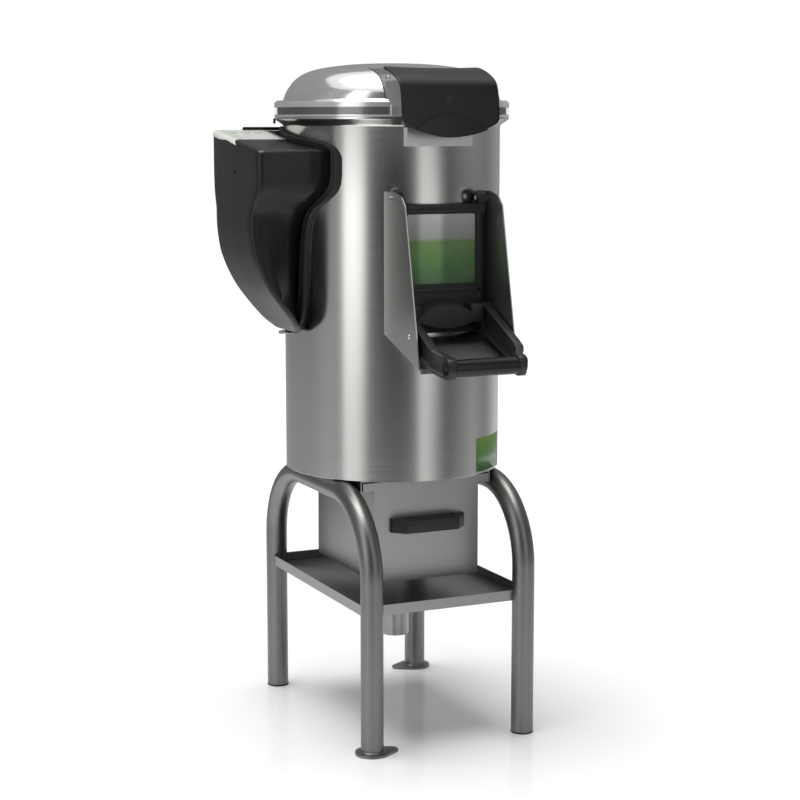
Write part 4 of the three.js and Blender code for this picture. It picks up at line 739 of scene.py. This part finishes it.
slab(door_film, [(-DOOR_LABEL_HALF, DOOR_LABEL_FOOT), (DOOR_LABEL_HALF, DOOR_LABEL_FOOT),
                 (DOOR_LABEL_HALF, DOOR_LABEL_HEAD), (-DOOR_LABEL_HALF, DOOR_LABEL_HEAD)],
     (0, -DOOR_LABEL_SHEET, 0), xz_at(LEAF_FRONT + DOOR_LABEL_STAND))
soften(door_film, [edge for edge in door_film.edges
                   if abs(edge.verts[0].co.y - edge.verts[1].co.y) > 0.5], DOOR_LABEL_CORNER, 5)
put_on("door_film", door_film, door_label_finish, "door", "green_label", "door_label", sharp=30)

# Stirrup handle: two moulded arms that turn in towards a round bar, each hollowed on both faces, with
# a boss at the bar. The head of the bar's bolt sits in the boss, over a black disc of painted shade that
# stands for the well's dark depth.
ARM_OUTSIDE = 87
ARM_THICKNESS = 15
ARM_TOE_IN = 14
ARM_BACK = -217
ARM_TURN = (-344, -374)
ARM_LINE = [(ARM_BACK, 781), (-250, 765.5), (-285, 748.5), (-310, 736.8), (-333, 725.4), (-352, 715.2),
            (-366, 708.6), (-379, 706), (-386.5, 702.5), (-389.5, 697), (-385, 676.5), (-380, 671)]
ARM_UNDERLINE = [(-366, 672), (-352, 678.8), (-326, 689.8), (-300, 699), (-260, 713), (ARM_BACK, 728)]
ARM_HOLLOW = (4.2, 0.8, 5)  # rim, slope of the wall, depth
ARM_EDGE = 0.7
BAR = Vector((0, -375, 688.5))
BAR_RADIUS = 15
BAR_ROOT = 0.3
BOSS_RADIUS = 15
BOSS_HOLLOW = (4, 0.3, 12)
BOSS_EDGE = 2.4
BOLT_RADIUS = 4.4
BOLT_HEIGHT = 3
BOLT_DEPTH = 3.4
WELL_SHADE_RADIUS = 10.6
WELL_SHADE_HEIGHT = 1.5
WELL_SHADE_DEPTH = 4.2
boss_outside = ARM_OUTSIDE - ARM_TOE_IN


def hollow_out(shape, face, rim, slope, depth, crown=0):
    """Sinks the middle of a face behind a rim, which may stand up as a low crown."""
    bmesh.ops.inset_region(shape, faces=[face], thickness=rim, depth=crown)
    bmesh.ops.inset_region(shape, faces=[face], thickness=slope, depth=-depth)


def end_face(corners, way):
    """The flat face at the end of a cylinder that lies furthest in a direction."""
    return max({face for vert in corners for face in vert.link_faces if len(face.verts) > 8},
               key=lambda face: face.calc_center_median().dot(way))


arms = bmesh.new()
faces = slab(arms, ARM_LINE + ARM_UNDERLINE, (ARM_THICKNESS, 0, 0), yz_at(ARM_OUTSIDE - ARM_THICKNESS))
for side_face in (faces[0], max(faces[1:], key=lambda face: face.calc_area())):
    hollow_out(arms, side_face, *ARM_HOLLOW)
for cut_y in range(ARM_TURN[1] + 2, ARM_TURN[0] + 2, 3):
    bmesh.ops.bisect_plane(arms, geom=list(arms.verts) + list(arms.edges) + list(arms.faces), dist=0.0001,
                           plane_co=(0, cut_y, 0), plane_no=(0, 1, 0))
for vert in arms.verts:
    turn = min(max((ARM_TURN[0] - vert.co.y) / (ARM_TURN[0] - ARM_TURN[1]), 0), 1)
    vert.co.x -= ARM_TOE_IN * turn * turn * (3 - 2 * turn)
soften(arms, [edge for edge in arms.edges if edge.is_manifold and edge.calc_face_angle(0) > 1.2],
       ARM_EDGE, 2)
boss = lying(arms, (boss_outside - ARM_THICKNESS / 2, BAR.y, BAR.z), BOSS_RADIUS, ARM_THICKNESS, 56)
boss_faces = [end_face(boss, Vector((way, 0, 0))) for way in (-1, 1)]
rims = [edge for face in boss_faces for edge in face.edges]
hollow_out(arms, boss_faces[1], *BOSS_HOLLOW)
soften(arms, rims, BOSS_EDGE, 4)
lying(arms, (boss_outside - BOLT_DEPTH, BAR.y, BAR.z), BOLT_RADIUS, BOLT_HEIGHT, 6)
arm_finish = moulded("arm_moulding", (0.012, 0.012, 0.013), (0.021, 0.021, 0.0225), 0.34)
for side, sign in (("left", -1), ("right", 1)):
    arm = arms.copy()
    bmesh.ops.scale(arm, vec=(sign, 1, 1), verts=arm.verts)
    put_on(f"stirrup_{side}", arm, arm_finish, "door", "black_plastic", f"door_arm_{side}", sharp=40)
arms.free()
# Painted shade: a flat black disc behind each bolt head stands in for the dark depth of the boss's well.
bolt_well_shade = bmesh.new()
for sign in (-1, 1):
    lying(bolt_well_shade, (sign * (boss_outside - WELL_SHADE_DEPTH), BAR.y, BAR.z), WELL_SHADE_RADIUS, WELL_SHADE_HEIGHT, 40)
well_shade_finish = moulded("well_shadow", (0.0012, 0.0012, 0.0012), (0.0016, 0.0016, 0.0016), 0.9)
put_on("bolt_well_shade", bolt_well_shade, well_shade_finish, "door", "black_plastic")
bar = bmesh.new()
lying(bar, BAR, BAR_RADIUS, 2 * (boss_outside - ARM_THICKNESS + BAR_ROOT), 64)
bar_finish = moulded("bar_moulding", (0.006, 0.006, 0.0065), (0.010, 0.010, 0.0105), 0.2, 1400.0, 0.0001)
put_on("stirrup_bar", bar, bar_finish, "door", "black_plastic", "door_bar")

# Lid: a clear moulded bowl with a stepped rim, and a box-shaped nose in front of it that carries the
# handle. The bowl is a smooth line spun about the axis; the nose is its side outline drawn across.
RIM_BOTTOM = 1100.3
RIM_LINE = (  # radius and height, as in the lines below
    (208.2, RIM_BOTTOM), (211.3, RIM_BOTTOM), (211.8, 1100.8), (211.8, 1124.2), (211.2, 1125.7),
    (209.6, 1126.6), (208.2, 1126.8), (208.2, 1112.3))
RIM_WINDOW = (1.1035, 1.1175, 0.14)  # its foot and head in metres, and how much it hides
LEDGE_LINE = ((208.4, 1125.4), (209, 1127.6), (207.6, 1129), (198, 1129.4), (195, 1131), (193, 1128.5),
              (193, 1125.4))
LID_STEPS = 192
BOWL_RADIUS = 196
BOWL_BASE = 1129.5
BOWL_HEIGHT = 66.5
BOWL_WALL = 3
BOWL_SHARES = ((1, 0), (0.982, 0.16), (0.95, 0.33), (0.89, 0.545), (0.8, 0.72), (0.655, 0.85),
               (0.38, 0.955), (0, 1))
BOWL_STEPS = 128
POLE = 0.01  # radius at which the bowl's lines end, on the axis
NOSE_HALF_WIDTH = 91
NOSE_BACK = -96
NOSE_CORNER = 5
NOSE_SETBACK = 4
NOSE_SCREW = (-183, 1165)
NOSE_SCREW_RADIUS = 5
NOSE_SCREW_HEIGHT = 2.6
POST_RADIUS = 3.2
POST_SIDE = 89
POST_FRONT = -196
POST_FOOT = 1102.3
POST_HEAD = 1120.3
POST_EDGE = 0.4
PLATE_FRONT = -245
PLATE_BACK = -162
PLATE_BOTTOM = 1065
PLATE_HEIGHT = 121
BOW_SHARES = ((1, 0), (1, 0.3), (0.976, 0.46), (0.92, 0.67), (0.78, 0.81), (0.4, 0.93), (0, 1))


def flowing(points, steps):
    """A smooth line through a few points, or through rows of any other numbers."""
    line = [Vector(point) for point in points]
    rounded = [line[0]]
    for i, (near, far) in enumerate(zip(line, line[1:])):
        leaving = (far - line[max(i - 1, 0)]) / 2
        arriving = (line[min(i + 2, len(line) - 1)] - near) / 2
        for run in shares(steps)[1:]:
            rounded.append(near + leaving * run + (3 * (far - near) - 2 * leaving - arriving) * run ** 2
                           + (2 * (near - far) + leaving + arriving) * run ** 3)
    return rounded


def clear(name, color, alpha, metal, roughness, window=None):
    """Clear moulded plastic: it mirrors the studio and lets a part of what is behind it through."""
    material, shader, wire = new_finish(name)
    place = wire.node("TexCoord", output=3)
    haze = wire.node("TexNoise", Vector=place, Scale=6.0, Detail=3.0)
    if window:
        foot, head, hiding = window
        height = wire.node("SeparateXYZ", output=2, Vector=place)
        opening = height.between(foot, foot + 0.001) * (1 - height.between(head - 0.001, head))
        alpha = opening * (hiding - alpha) + alpha
    feed(shader, Base_Color=haze.mix(tuple(0.93 * part for part in color), color),
         Roughness=(haze - 0.5) * 0.05 + roughness, Metallic=metal, Alpha=alpha, Coat_Weight=1.0,
         Coat_Roughness=0.03)
    return material


bowl_finish = clear("clear_bowl", (0.78, 0.78, 0.77), 0.97, 0.85, 0.14)
bowl = bmesh.new()
outside_line = [(BOWL_RADIUS * point.x, BOWL_BASE + BOWL_HEIGHT * point.y)
                for point in flowing(BOWL_SHARES, 5)]
inside_line = [(max(radius - BOWL_WALL, 0), height - BOWL_WALL) for radius, height in outside_line]
spun(bowl, outside_line[:-1] + [(POLE, outside_line[-1][1])] + [(POLE, inside_line[-1][1])]
     + inside_line[-2::-1], BOWL_STEPS)
put_on("lid_bowl", bowl, bowl_finish, "lid", "clear_plastic", "lid_dome", sharp=50)
rim_finish = clear("clear_rim", (0.66, 0.665, 0.66), 0.92, 0.6, 0.12, RIM_WINDOW)
rim = bmesh.new()
spun(rim, RIM_LINE, LID_STEPS)
put_on("lid_rim", rim, rim_finish, "lid", "clear_plastic", sharp=40)
ledge = bmesh.new()
spun(ledge, LEDGE_LINE, LID_STEPS)
put_on("lid_ledge", ledge, bowl_finish, "lid", "clear_plastic", sharp=40)
bow = [Vector((0, PLATE_BACK + forward * (PLATE_FRONT - PLATE_BACK), PLATE_BOTTOM + PLATE_HEIGHT * high))
       for forward, high in BOW_SHARES]
bow_line = flowing(bow, 6)


def beside(line, distance):
    """A line in the side plane, moved inwards by a distance."""
    moved = []
    for i, point in enumerate(line):
        way = line[min(i + 1, len(line) - 1)] - line[max(i - 1, 0)]
        moved.append(point + Vector((0, way.z, -way.y)).normalized() * distance)
    return moved


nose_line = [point for point in beside(bow_line, NOSE_SETBACK) if point.z > RIM_BOTTOM]
nose = bmesh.new()
slab(nose, [(nose_line[0].y, RIM_BOTTOM)] + [(point.y, point.z) for point in nose_line]
     + [(NOSE_BACK, nose_line[-1].z), (NOSE_BACK, RIM_BOTTOM)], (2 * NOSE_HALF_WIDTH, 0, 0),
     yz_at(-NOSE_HALF_WIDTH))
soften(nose, [edge for edge in nose.edges if abs(abs(edge.verts[0].co.x) - NOSE_HALF_WIDTH) < 0.01
              and abs(edge.verts[0].co.x - edge.verts[1].co.x) < 0.01
              and max(vert.co.z for vert in edge.verts) > RIM_BOTTOM + 1], NOSE_CORNER, 4)
nose_finish = clear("clear_nose", (0.2, 0.202, 0.2), 0.84, 0.1, 0.18)
put_on("lid_nose", nose, nose_finish, "lid", "clear_plastic", sharp=35)
nose_screw = bmesh.new()
for sign in (-1, 1):
    dome_head(nose_screw, (sign * NOSE_HALF_WIDTH, *NOSE_SCREW), (sign, 0, 0), NOSE_SCREW_RADIUS,
              NOSE_SCREW_HEIGHT)
    upright(nose_screw, POST_RADIUS, POST_FOOT, POST_HEAD, (sign * POST_SIDE, POST_FRONT), 20, POST_EDGE)
put_on("nose_screws", nose_screw, cheek_finish, "lid", "brushed_steel", sharp=40)

# Dark edges of the nose: a thin black ribbon on each side, laid along the curve where the nose runs into
# the bowl. It is painted shade, standing in for the dark line that the clear edge makes by refraction.
EDGE_SHADE_WIDTH = 3.2
EDGE_SHADE_THICKNESS = 0.6
EDGE_SHADE_STAND = 0.2
edge_shade_finish = moulded("nose_edge_painted_shade", (0.004, 0.004, 0.004), (0.006, 0.006, 0.006), 0.6)


def skin(shape, rows):
    """Lays a sheet of faces over rows of points, and returns its corners by row and place."""
    sheet = bmesh.ops.create_grid(shape, x_segments=len(rows[0]) - 1, y_segments=len(rows) - 1,
                                  size=1)["verts"]
    placed = {}
    for vert in sheet:
        row = round((vert.co.y + 1) / 2 * (len(rows) - 1))
        place = round((vert.co.x + 1) / 2 * (len(rows[0]) - 1))
        placed[row, place] = vert
    for (row, place), vert in placed.items():
        vert.co = rows[row][place]
    return placed


# The black ribbons are painted shade, the dark line along the nose's clear edges.
edge_shade_ribbons = bmesh.new()
edge_shade_start = math.hypot(NOSE_HALF_WIDTH, NOSE_BACK)
for side in (-NOSE_HALF_WIDTH - EDGE_SHADE_STAND, NOSE_HALF_WIDTH + EDGE_SHADE_STAND):
    skin(edge_shade_ribbons, [[Vector((side, -math.sqrt(radius ** 2 - NOSE_HALF_WIDTH ** 2) - out, height))
                  for out in (0, EDGE_SHADE_WIDTH)] for radius, height in outside_line if radius > edge_shade_start])
bmesh.ops.solidify(edge_shade_ribbons, geom=list(edge_shade_ribbons.faces), thickness=EDGE_SHADE_THICKNESS)
put_on("nose_edge_shade", edge_shade_ribbons, edge_shade_finish, "lid", "clear_plastic", sharp=40)

# Rim seal: a black ribbed rubber ring inside the clear rim. A plain ring is spun, and every other one
# of its fine facets is set back to make the ribs.
SEAL_LINE = (  # radius, height
    (197, 1100.8), (207.2, 1100.8), (207.5, 1104.5), (206.3, 1105.5), (206.3, 1116.7), (207.5, 1117.7),
    (207.2, 1120.8), (197, 1120.8))
SEAL_RIBS = 260
RIB_RADIUS = 205
RIB_HEIGHTS = (1105.5, 1116.7)
RIB_SLOPE = 0.25
RIB_DEPTH = 0.8
rubber_finish = moulded("black_rubber", (0.008, 0.008, 0.0085), (0.02, 0.02, 0.021), 0.5, 700.0, 0.0003)
gasket = bmesh.new()
spun(gasket, SEAL_LINE, 2 * SEAL_RIBS)
for face in list(gasket.faces):
    middle = face.calc_center_median()
    step = math.floor(math.atan2(middle.y, middle.x) / math.pi * SEAL_RIBS)
    on_ribs = RIB_HEIGHTS[0] < middle.z < RIB_HEIGHTS[1] and middle.xy.length > RIB_RADIUS
    if on_ribs and step % 2 == 0:
        bmesh.ops.inset_region(gasket, faces=[face], thickness=RIB_SLOPE, depth=RIB_DEPTH)
put_on("lid_seal", gasket, rubber_finish, "lid", "black_rubber", "lid_gasket", sharp=30)

# Lid handle: a black moulded plate bowed over the nose, hollowed at its top edge, with a lens-shaped
# grip raised at its foot. A grid laid along the bow and given its thickness, plus the grip.
PLATE_ROWS = 48
PLATE_COLUMNS = 60
PLATE_HALF_WIDTH = 92
PLATE_THICKNESS = 3.4
FOOT_HALF_WIDTH = 82
FOOT_RISE = 21
FOOT_CORNER = 10
TOP_HOLLOW = 12
TOP_CORNER = 6
GRIP_HALF_WIDTH = 68
GRIP_SIDE = 1078
GRIP_TOP = 1103
GRIP_FOOT = 1065.6
GRIP_RAISE = 4
GRIP_ROOT = 1.5
GRIP_EDGE = 2.4
PLATE_EDGE = 1.1
PLATE_HEADS = (  # across, height, radius and how far it stands out: the plug, then four screws
    (-3, 1129.8, 7.2, 1), (-52, 1102.8, 2.6, 0.5), (53.7, 1102.8, 2.6, 0.5), (-44.4, 1079.6, 2.6, 4.5),
    (61, 1079.6, 2.6, 4.5))
HEAD_LENGTH = 2
HEAD_RIM = 0.22  # of its radius
HEAD_HOLLOW = (0.2, 0.6)
RIM_TAB = ((-194.5, 86.5, 1088.5), (-191.2, 91.5, 1098))
RIM_TAB_EDGE = 0.8
bow_length = [0.0]
for near, far in zip(bow_line, bow_line[1:]):
    bow_length.append(bow_length[-1] + (far - near).length)


def on_bow(length):
    """The point of the bow at a length from its foot."""
    for start, end, near, far in zip(bow_length, bow_length[1:], bow_line, bow_line[1:]):
        if length <= end:
            return near.lerp(far, (length - start) / (end - start))
    return bow_line[-1]


plate = bmesh.new()
rows = []
for rise in shares(PLATE_ROWS):
    row = []
    for across in [2 * share - 1 for share in shares(PLATE_COLUMNS)]:
        x = across * PLATE_HALF_WIDTH
        out = max(abs(x) - FOOT_HALF_WIDTH, 0) / (PLATE_HALF_WIDTH - FOOT_HALF_WIDTH)
        foot_height = FOOT_RISE * min(abs(x) / FOOT_HALF_WIDTH, 1) ** 2 + FOOT_CORNER * out * out
        head_length = bow_length[-1] - TOP_HOLLOW * (1 - across * across) - TOP_CORNER * out * out
        place = on_bow(foot_height + (head_length - foot_height) * rise)
        row.append(Vector((x, place.y, place.z)))
    rows.append(row)
skin(plate, rows)
plate_finish = moulded("handle_moulding", (0.006, 0.006, 0.0065), (0.010, 0.010, 0.0105), 0.34)
lid_plate = put_on("lid_plate", plate, plate_finish, "lid", "black_plastic", "lid_handle", sharp=50)
lid_plate.modifiers.new("thickness", "SOLIDIFY").thickness = PLATE_THICKNESS * MM
edge_round = lid_plate.modifiers.new("edge", "BEVEL")
edge_round.width = PLATE_EDGE * MM
edge_round.segments = 3
edge_round.limit_method = "ANGLE"
grip = bmesh.new()
ring = lens_ring(grip, PLATE_FRONT + GRIP_ROOT, GRIP_HALF_WIDTH, GRIP_SIDE, GRIP_TOP, GRIP_FOOT)
grip_front = draw_out(grip, ring, (0, -GRIP_RAISE - GRIP_ROOT, 0))
bmesh.ops.contextual_create(grip, geom=grip_front)
bmesh.ops.contextual_create(grip, geom=ring)
soften(grip, [edge for edge in grip_front if edge.is_valid], GRIP_EDGE)
put_on("lid_grip", grip, plate_finish, "lid", "black_plastic", sharp=40)
plate_details = bmesh.new()
front_bow = [point for point in bow_line if point.y < PLATE_FRONT + 40]
for x, z, radius, stand in PLATE_HEADS:
    surface = min(front_bow, key=lambda point: abs(point.z - z)).y
    head_place = (x, surface + HEAD_LENGTH / 2 - stand, z)
    head = bmesh.ops.create_cone(plate_details, cap_ends=True, segments=28, radius1=radius, radius2=radius,
                                 depth=HEAD_LENGTH, matrix=Matrix.Translation(head_place)
                                 @ Matrix.Rotation(math.pi / 2, 4, "X"))["verts"]
    hollow_out(plate_details, end_face(head, Vector((0, -1, 0))), radius * HEAD_RIM, *HEAD_HOLLOW)
put_on("lid_plugs", plate_details, black_finish, "lid", "black_plastic", sharp=30)
dress(tube_finish, "lid_hinge_leaf", "lid_bracket")
dress(cheek_finish, "lid_catch")
rim_tab = bmesh.new()
box_of(rim_tab, *RIM_TAB, RIM_TAB_EDGE)
put_on("rim_tab", rim_tab, black_finish, "body", "black_plastic")

# Control housing: one thin black moulding, drawn level by level from its narrow foot up to its
# shoulder, then rounded over into the sloping top. It stands on the drum's side, behind its seal.
COVER_FOOT = 724
COVER_CROWN = 1095
COVER_REACH = 302
COVER_HALF_WIDTH = 118
COVER_RADIUS = 204.2  # where it ends, next to the seal
COVER_CORNER = 10
COVER_RIDGE = 1.3
COVER_WALL = 3
TOP_HEIGHT = 1060.5
TOP_SLOPE = math.tan(math.radians(8.15))
TOP_ROUND = 8
TOP_RUN = (1002, TOP_HEIGHT - TOP_ROUND)
SIDE_LEVELS = (1015, 1028, 1041)
HOUSING_SHARES = (  # height, reach, half outside, then in mm half at the drum and half at the seal's rim
    (0, 0.7, 0.42, 3, 25), (0.019, 0.72, 0.54, 11, 37), (0.038, 0.74, 0.64, 18, 42),
    (0.07, 0.77, 0.725, 26, 48), (0.124, 0.824, 0.76, 34, 53), (0.205, 0.9, 0.757, 39, 56),
    (0.286, 0.955, 0.757, 41.5, 57.5), (0.367, 0.993, 0.765, 44, 59), (0.434, 1.008, 0.772, 47, 61.5),
    (0.488, 1.016, 0.772, 51, 64.5), (0.542, 1.018, 0.775, 58, 70.5), (0.582, 1.015, 0.8, 68, 82),
    (0.623, 1.01, 0.875, 86, 102), (0.663, 1.004, 0.95, 103, 117), (0.704, 1, 0.99, 112, 123),
    (0.75, 1, 1, 115, 125))
COVER_LIP = ((-245, 1076.2), (-243, 1082.4), (-169, 1082.4), (-169, 1076.2))
COVER_LIP_FRONT = 113.6
COVER_LIP_THICKNESS = 4
COVER_LIP_EDGE = 0.8
EYELETS = (((-303.1, -2, 1004.8), 3), ((-307.6, -8, 935.4), 1.7))
EYELET_LENGTH = 3
EYELET_HOLLOW = (0.5, 0.2, 2.4, 0.2)


def sloped(point):
    """Tilts the upper part of the housing to the slope of its top."""
    run = min(max((point.z - TOP_RUN[0]) / (TOP_RUN[1] - TOP_RUN[0]), 0), 1)
    return Vector((point.x, point.y, point.z + TOP_SLOPE * point.y * run * run * (3 - 2 * run)))


levels = [(COVER_FOOT + row[0] * (COVER_CROWN - COVER_FOOT), COVER_REACH * row[1],
           COVER_HALF_WIDTH * row[2], row[3]) for row in flowing(HOUSING_SHARES, 4)]
widest = levels[-1]
levels += [(height, *widest[1:]) for height in SIDE_LEVELS]
for turn in [math.pi / 2 * share for share in shares(6)]:
    inset = TOP_ROUND * (1 - math.cos(turn))
    levels.append((TOP_RUN[1] + TOP_ROUND * math.sin(turn), *[size - inset for size in widest[1:]]))


def level_points(height, reach, half, root):
    """One level of the housing, from the drum round its outer face and back to the drum."""
    outer = []
    for turn in [math.pi / 2 * (1 - share) for share in shares(7)]:
        outer.append(Vector((-reach + COVER_CORNER * (1 - math.cos(turn)),
                             half - COVER_CORNER * (1 - math.sin(turn)), 0)))
    middle = [Vector((-reach - COVER_RIDGE * (1 - abs(share)), (half - COVER_CORNER) * share, 0))
              for share in (0.8, 0.6, 0.4, 0.2, 0.06, 0, -0.06, -0.2, -0.4, -0.6, -0.8)]
    start = Vector((-math.sqrt(COVER_RADIUS ** 2 - root ** 2), root, 0))
    side = [start.lerp(outer[0], share) for share in (0, 0.35, 0.7)]
    back = side + outer
    front = [Vector((point.x, -point.y, 0)) for point in reversed(back)]
    return [sloped(point + Vector((0, 0, height))) for point in back + middle + front]


cover = bmesh.new()
placed = skin(cover, [level_points(*level) for level in levels])
in_level = len(level_points(*levels[0]))
crown = [placed[len(levels) - 1, place] for place in range(in_level)]
arc = [crown[-1].co.lerp(crown[0].co, share) for share in shares(14)[1:-1]]
for point in arc:
    crown.append(cover.verts.new((-math.sqrt(COVER_RADIUS ** 2 - point.y ** 2), point.y, point.z)))
cover.faces.new(crown)
cover.faces.new([placed[0, place] for place in range(in_level)])
cover_finish = moulded("housing_moulding", (0.009, 0.009, 0.0095), (0.009, 0.009, 0.0095), 0.32)
cover_piece = put_on("cover", cover, cover_finish, "body", "black_plastic", "housing_cover", sharp=55)
cover_piece.modifiers.new("wall", "SOLIDIFY").thickness = COVER_WALL * MM
lip = bmesh.new()
slab(lip, COVER_LIP, (0, COVER_LIP_THICKNESS, 0), xz_at(COVER_LIP_FRONT))
soften(lip, list(lip.edges), COVER_LIP_EDGE, 2)
put_on("cover_lip", lip, cover_finish, "body", "black_plastic")
eyelets = bmesh.new()
for place, radius in EYELETS:
    head = lying(eyelets, place, radius, EYELET_LENGTH, 24)
    hollow_out(eyelets, end_face(head, Vector((-1, 0, 0))), *EYELET_HOLLOW)
put_on("cover_eyelets", eyelets, black_finish, "body", "black_plastic", sharp=30)

# Housing seal: a black rubber band on the drum, all round the housing's edge, with two grooves and
# fine ribs between them. Its cross-section is laid along the housing's line and wrapped on the drum.
BAND_TOP_RISE = 9
BAND_INNER_CORNER = 6
BAND_OUTER_CORNER = 26
BAND_RIB_DEPTH = 0.7
BAND_SECTION = (  # across the band, radius from the drum's axis
    (0, 196.2), (0, 202.9), (0.05, 203.9), (0.2, 203.9), (0.23, 202.4), (0.31, 202.4), (0.34, 203.6),
    (0.64, 203.6), (0.67, 202.4), (0.75, 202.4), (0.78, 203.9), (0.93, 203.9), (1, 202.6), (1, 196.2),
    (0, 196.2))
BAND_FOOT = (((0, 723), (2, 723.2)), ((0, 716.5), (17, 718.4)))  # along its inner and its outer edge
BAND_LEVELS = range(1006, 1041, 4)
CLIPS = (((-205, 18, 713.5), (-196.5, 34, 719.5), 1.2), ((-204, 38, 710.5), (-196.5, 50, 716.5), 1.6))
inner_line, outer_line = [list(points) for points in BAND_FOOT]
for row in flowing(HOUSING_SHARES, 8):
    height = COVER_FOOT + row[0] * (COVER_CROWN - COVER_FOOT)
    inner_line.append((row[3], height))
    outer_line.append((row[4], height))
inner_side, outer_side = inner_line[-1][0], outer_line[-1][0]
for height in BAND_LEVELS:
    inner_line.append((inner_side, height))
    outer_line.append((outer_side, height))
for turn in [math.pi / 2 * share for share in shares(8)]:
    inner_line.append((inner_side - BAND_INNER_CORNER * (1 - math.cos(turn)),
                       TOP_HEIGHT - BAND_INNER_CORNER * (1 - math.sin(turn))))
    outer_line.append((outer_side - BAND_OUTER_CORNER * (1 - math.cos(turn)),
                       TOP_HEIGHT + BAND_TOP_RISE - BAND_OUTER_CORNER * (1 - math.sin(turn))))
inner_end, outer_end = inner_line[-1][0], outer_line[-1][0]
for share in reversed(shares(24)[:-1]):
    inner_line.append((inner_end * share, TOP_HEIGHT))
    outer_line.append((outer_end * share, TOP_HEIGHT + BAND_TOP_RISE))
sides = list(zip(inner_line, outer_line))
mirrored = [((-inner[0], inner[1]), (-outer[0], outer[1])) for inner, outer in sides[::-1]]
band = bmesh.new()
rows = []
for inner, outer in sides + mirrored[1:]:
    row = []
    for across, radius in BAND_SECTION:
        y = inner[0] + (outer[0] - inner[0]) * across
        height = inner[1] + (outer[1] - inner[1]) * across
        row.append(sloped(Vector((-math.sqrt(radius ** 2 - y * y), y, height))))
    rows.append(row)
placed = skin(band, rows)
for row in range(0, len(rows) - 1, 2):
    groove = set(placed[row, 6].link_faces) & set(placed[row + 1, 7].link_faces)
    bmesh.ops.inset_region(band, faces=list(groove), thickness=RIB_SLOPE, depth=BAND_RIB_DEPTH)
put_on("seal_band", band, rubber_finish, "body", "black_rubber", "housing_seal", sharp=35)
clip = bmesh.new()
for low, high, edge in CLIPS:
    box_of(clip, low, high, edge)
put_on("seal_clips", clip, steel_finish, "body", "satin_steel_tube")

# Control film: a pale printed film on the rear half of the sloping top, folded over its outer edge.
# A grid laid on the top and over the rounding. Under it, three keys, each a soft-edged disc.
FILM_FRONT = 3
FILM_BACK = 112
FILM_INNER = -203
FILM_STAND = 0.35
FILM_TIP = -12
FILM_SHEET = 0.5
FILM_DROPS = ((-12, 7.8), (8, 7.2), (26, 6.3), (42, 6.3), (60, 8.6), (78, 10.2), (112, 10.2))
FILM_STRIPE = (-0.292, -0.288, -0.286, -0.280)  # where it begins, is full and ends, in metres
KEY_RADIUS = 8.8
KEY_LENGTH = 6.6
KEY_EDGE = 0.7
KEYS = (("start_button", (0.58, 0.65, 0.53), "green_button"),
        ("stop_button", (0.66, 0.62, 0.59), "red_button"),
        ("timer_button", (0.62, 0.63, 0.60), "white_panel"))
film = bmesh.new()


def drop_at(y):
    """How far the film hangs over the edge at a place."""
    for (start, low), (end, high) in zip(FILM_DROPS, FILM_DROPS[1:]):
        if y <= end:
            run = (y - start) / (end - start)
            return low + (high - low) * run * run * (3 - 2 * run)
    return FILM_DROPS[-1][1]


rows = []
for share in shares(60):
    row = []
    for run in shares(10):
        x = FILM_INNER + (TOP_ROUND - COVER_REACH - FILM_INNER) * run
        y = FILM_FRONT + (FILM_BACK - FILM_FRONT) * share
        row.append(Vector((x, y, TOP_HEIGHT + FILM_STAND + TOP_SLOPE * y)))
    for fold in shares(10)[1:]:
        front = FILM_FRONT + (FILM_TIP - FILM_FRONT) * fold
        y = front + (FILM_BACK - front) * share
        drop = drop_at(y) * fold
        ridge = COVER_RIDGE * (1 - abs(y) / (COVER_HALF_WIDTH - COVER_CORNER))
        reach = COVER_REACH + ridge - TOP_ROUND
        turn = math.acos(max(1 - drop / TOP_ROUND, 0))
        row.append(Vector((-reach - (TOP_ROUND + FILM_STAND) * math.sin(turn), y,
                           TOP_HEIGHT + FILM_STAND * math.cos(turn) - drop + TOP_SLOPE * y)))
    rows.append(row)
skin(film, rows)
film_material, film_shader, film_wire = new_finish("control_film")
film_place = film_wire.node("TexCoord", output=3)
film_x = film_wire.node("SeparateXYZ", Vector=film_place)
begins, full, fades, ends = [AXIS.x + place for place in FILM_STRIPE]
stripe = film_x.between(begins, full) * (1 - film_x.between(fades, ends))
film_cloud = film_wire.node("TexNoise", Vector=film_place, Scale=22.0, Detail=2.0)
film_tone = film_cloud.mix((0.60, 0.62, 0.585), (0.70, 0.715, 0.675))
feed(film_shader, Base_Color=(stripe * 0.7).mix(film_tone, (0.44, 0.54, 0.34)),
     Roughness=film_cloud * 0.1 + 0.22, Coat_Weight=0.4, Coat_Roughness=0.08)
film_piece = put_on("film", film, film_material, "body", "white_panel", "control_panel", sharp=60)
film_piece.modifiers.new("thickness", "SOLIDIFY").thickness = FILM_SHEET * MM
for name, tone, slot_name in KEYS:
    key_finish = moulded(f"{name}_key", tuple(0.94 * part for part in tone), tone, 0.28)
    low, high = extent(name)
    key = bmesh.new()
    bmesh.ops.create_cone(key, cap_ends=True, segments=48, radius1=KEY_RADIUS, radius2=KEY_RADIUS,
                          depth=KEY_LENGTH, matrix=Matrix.Translation((low + high) / 2)
                          @ Matrix.Rotation(math.atan(TOP_SLOPE), 4, "X"))
    soften(key, list(key.edges), KEY_EDGE)
    put_on(f"{name}_cap", key, key_finish, name, slot_name, name, sharp=50)
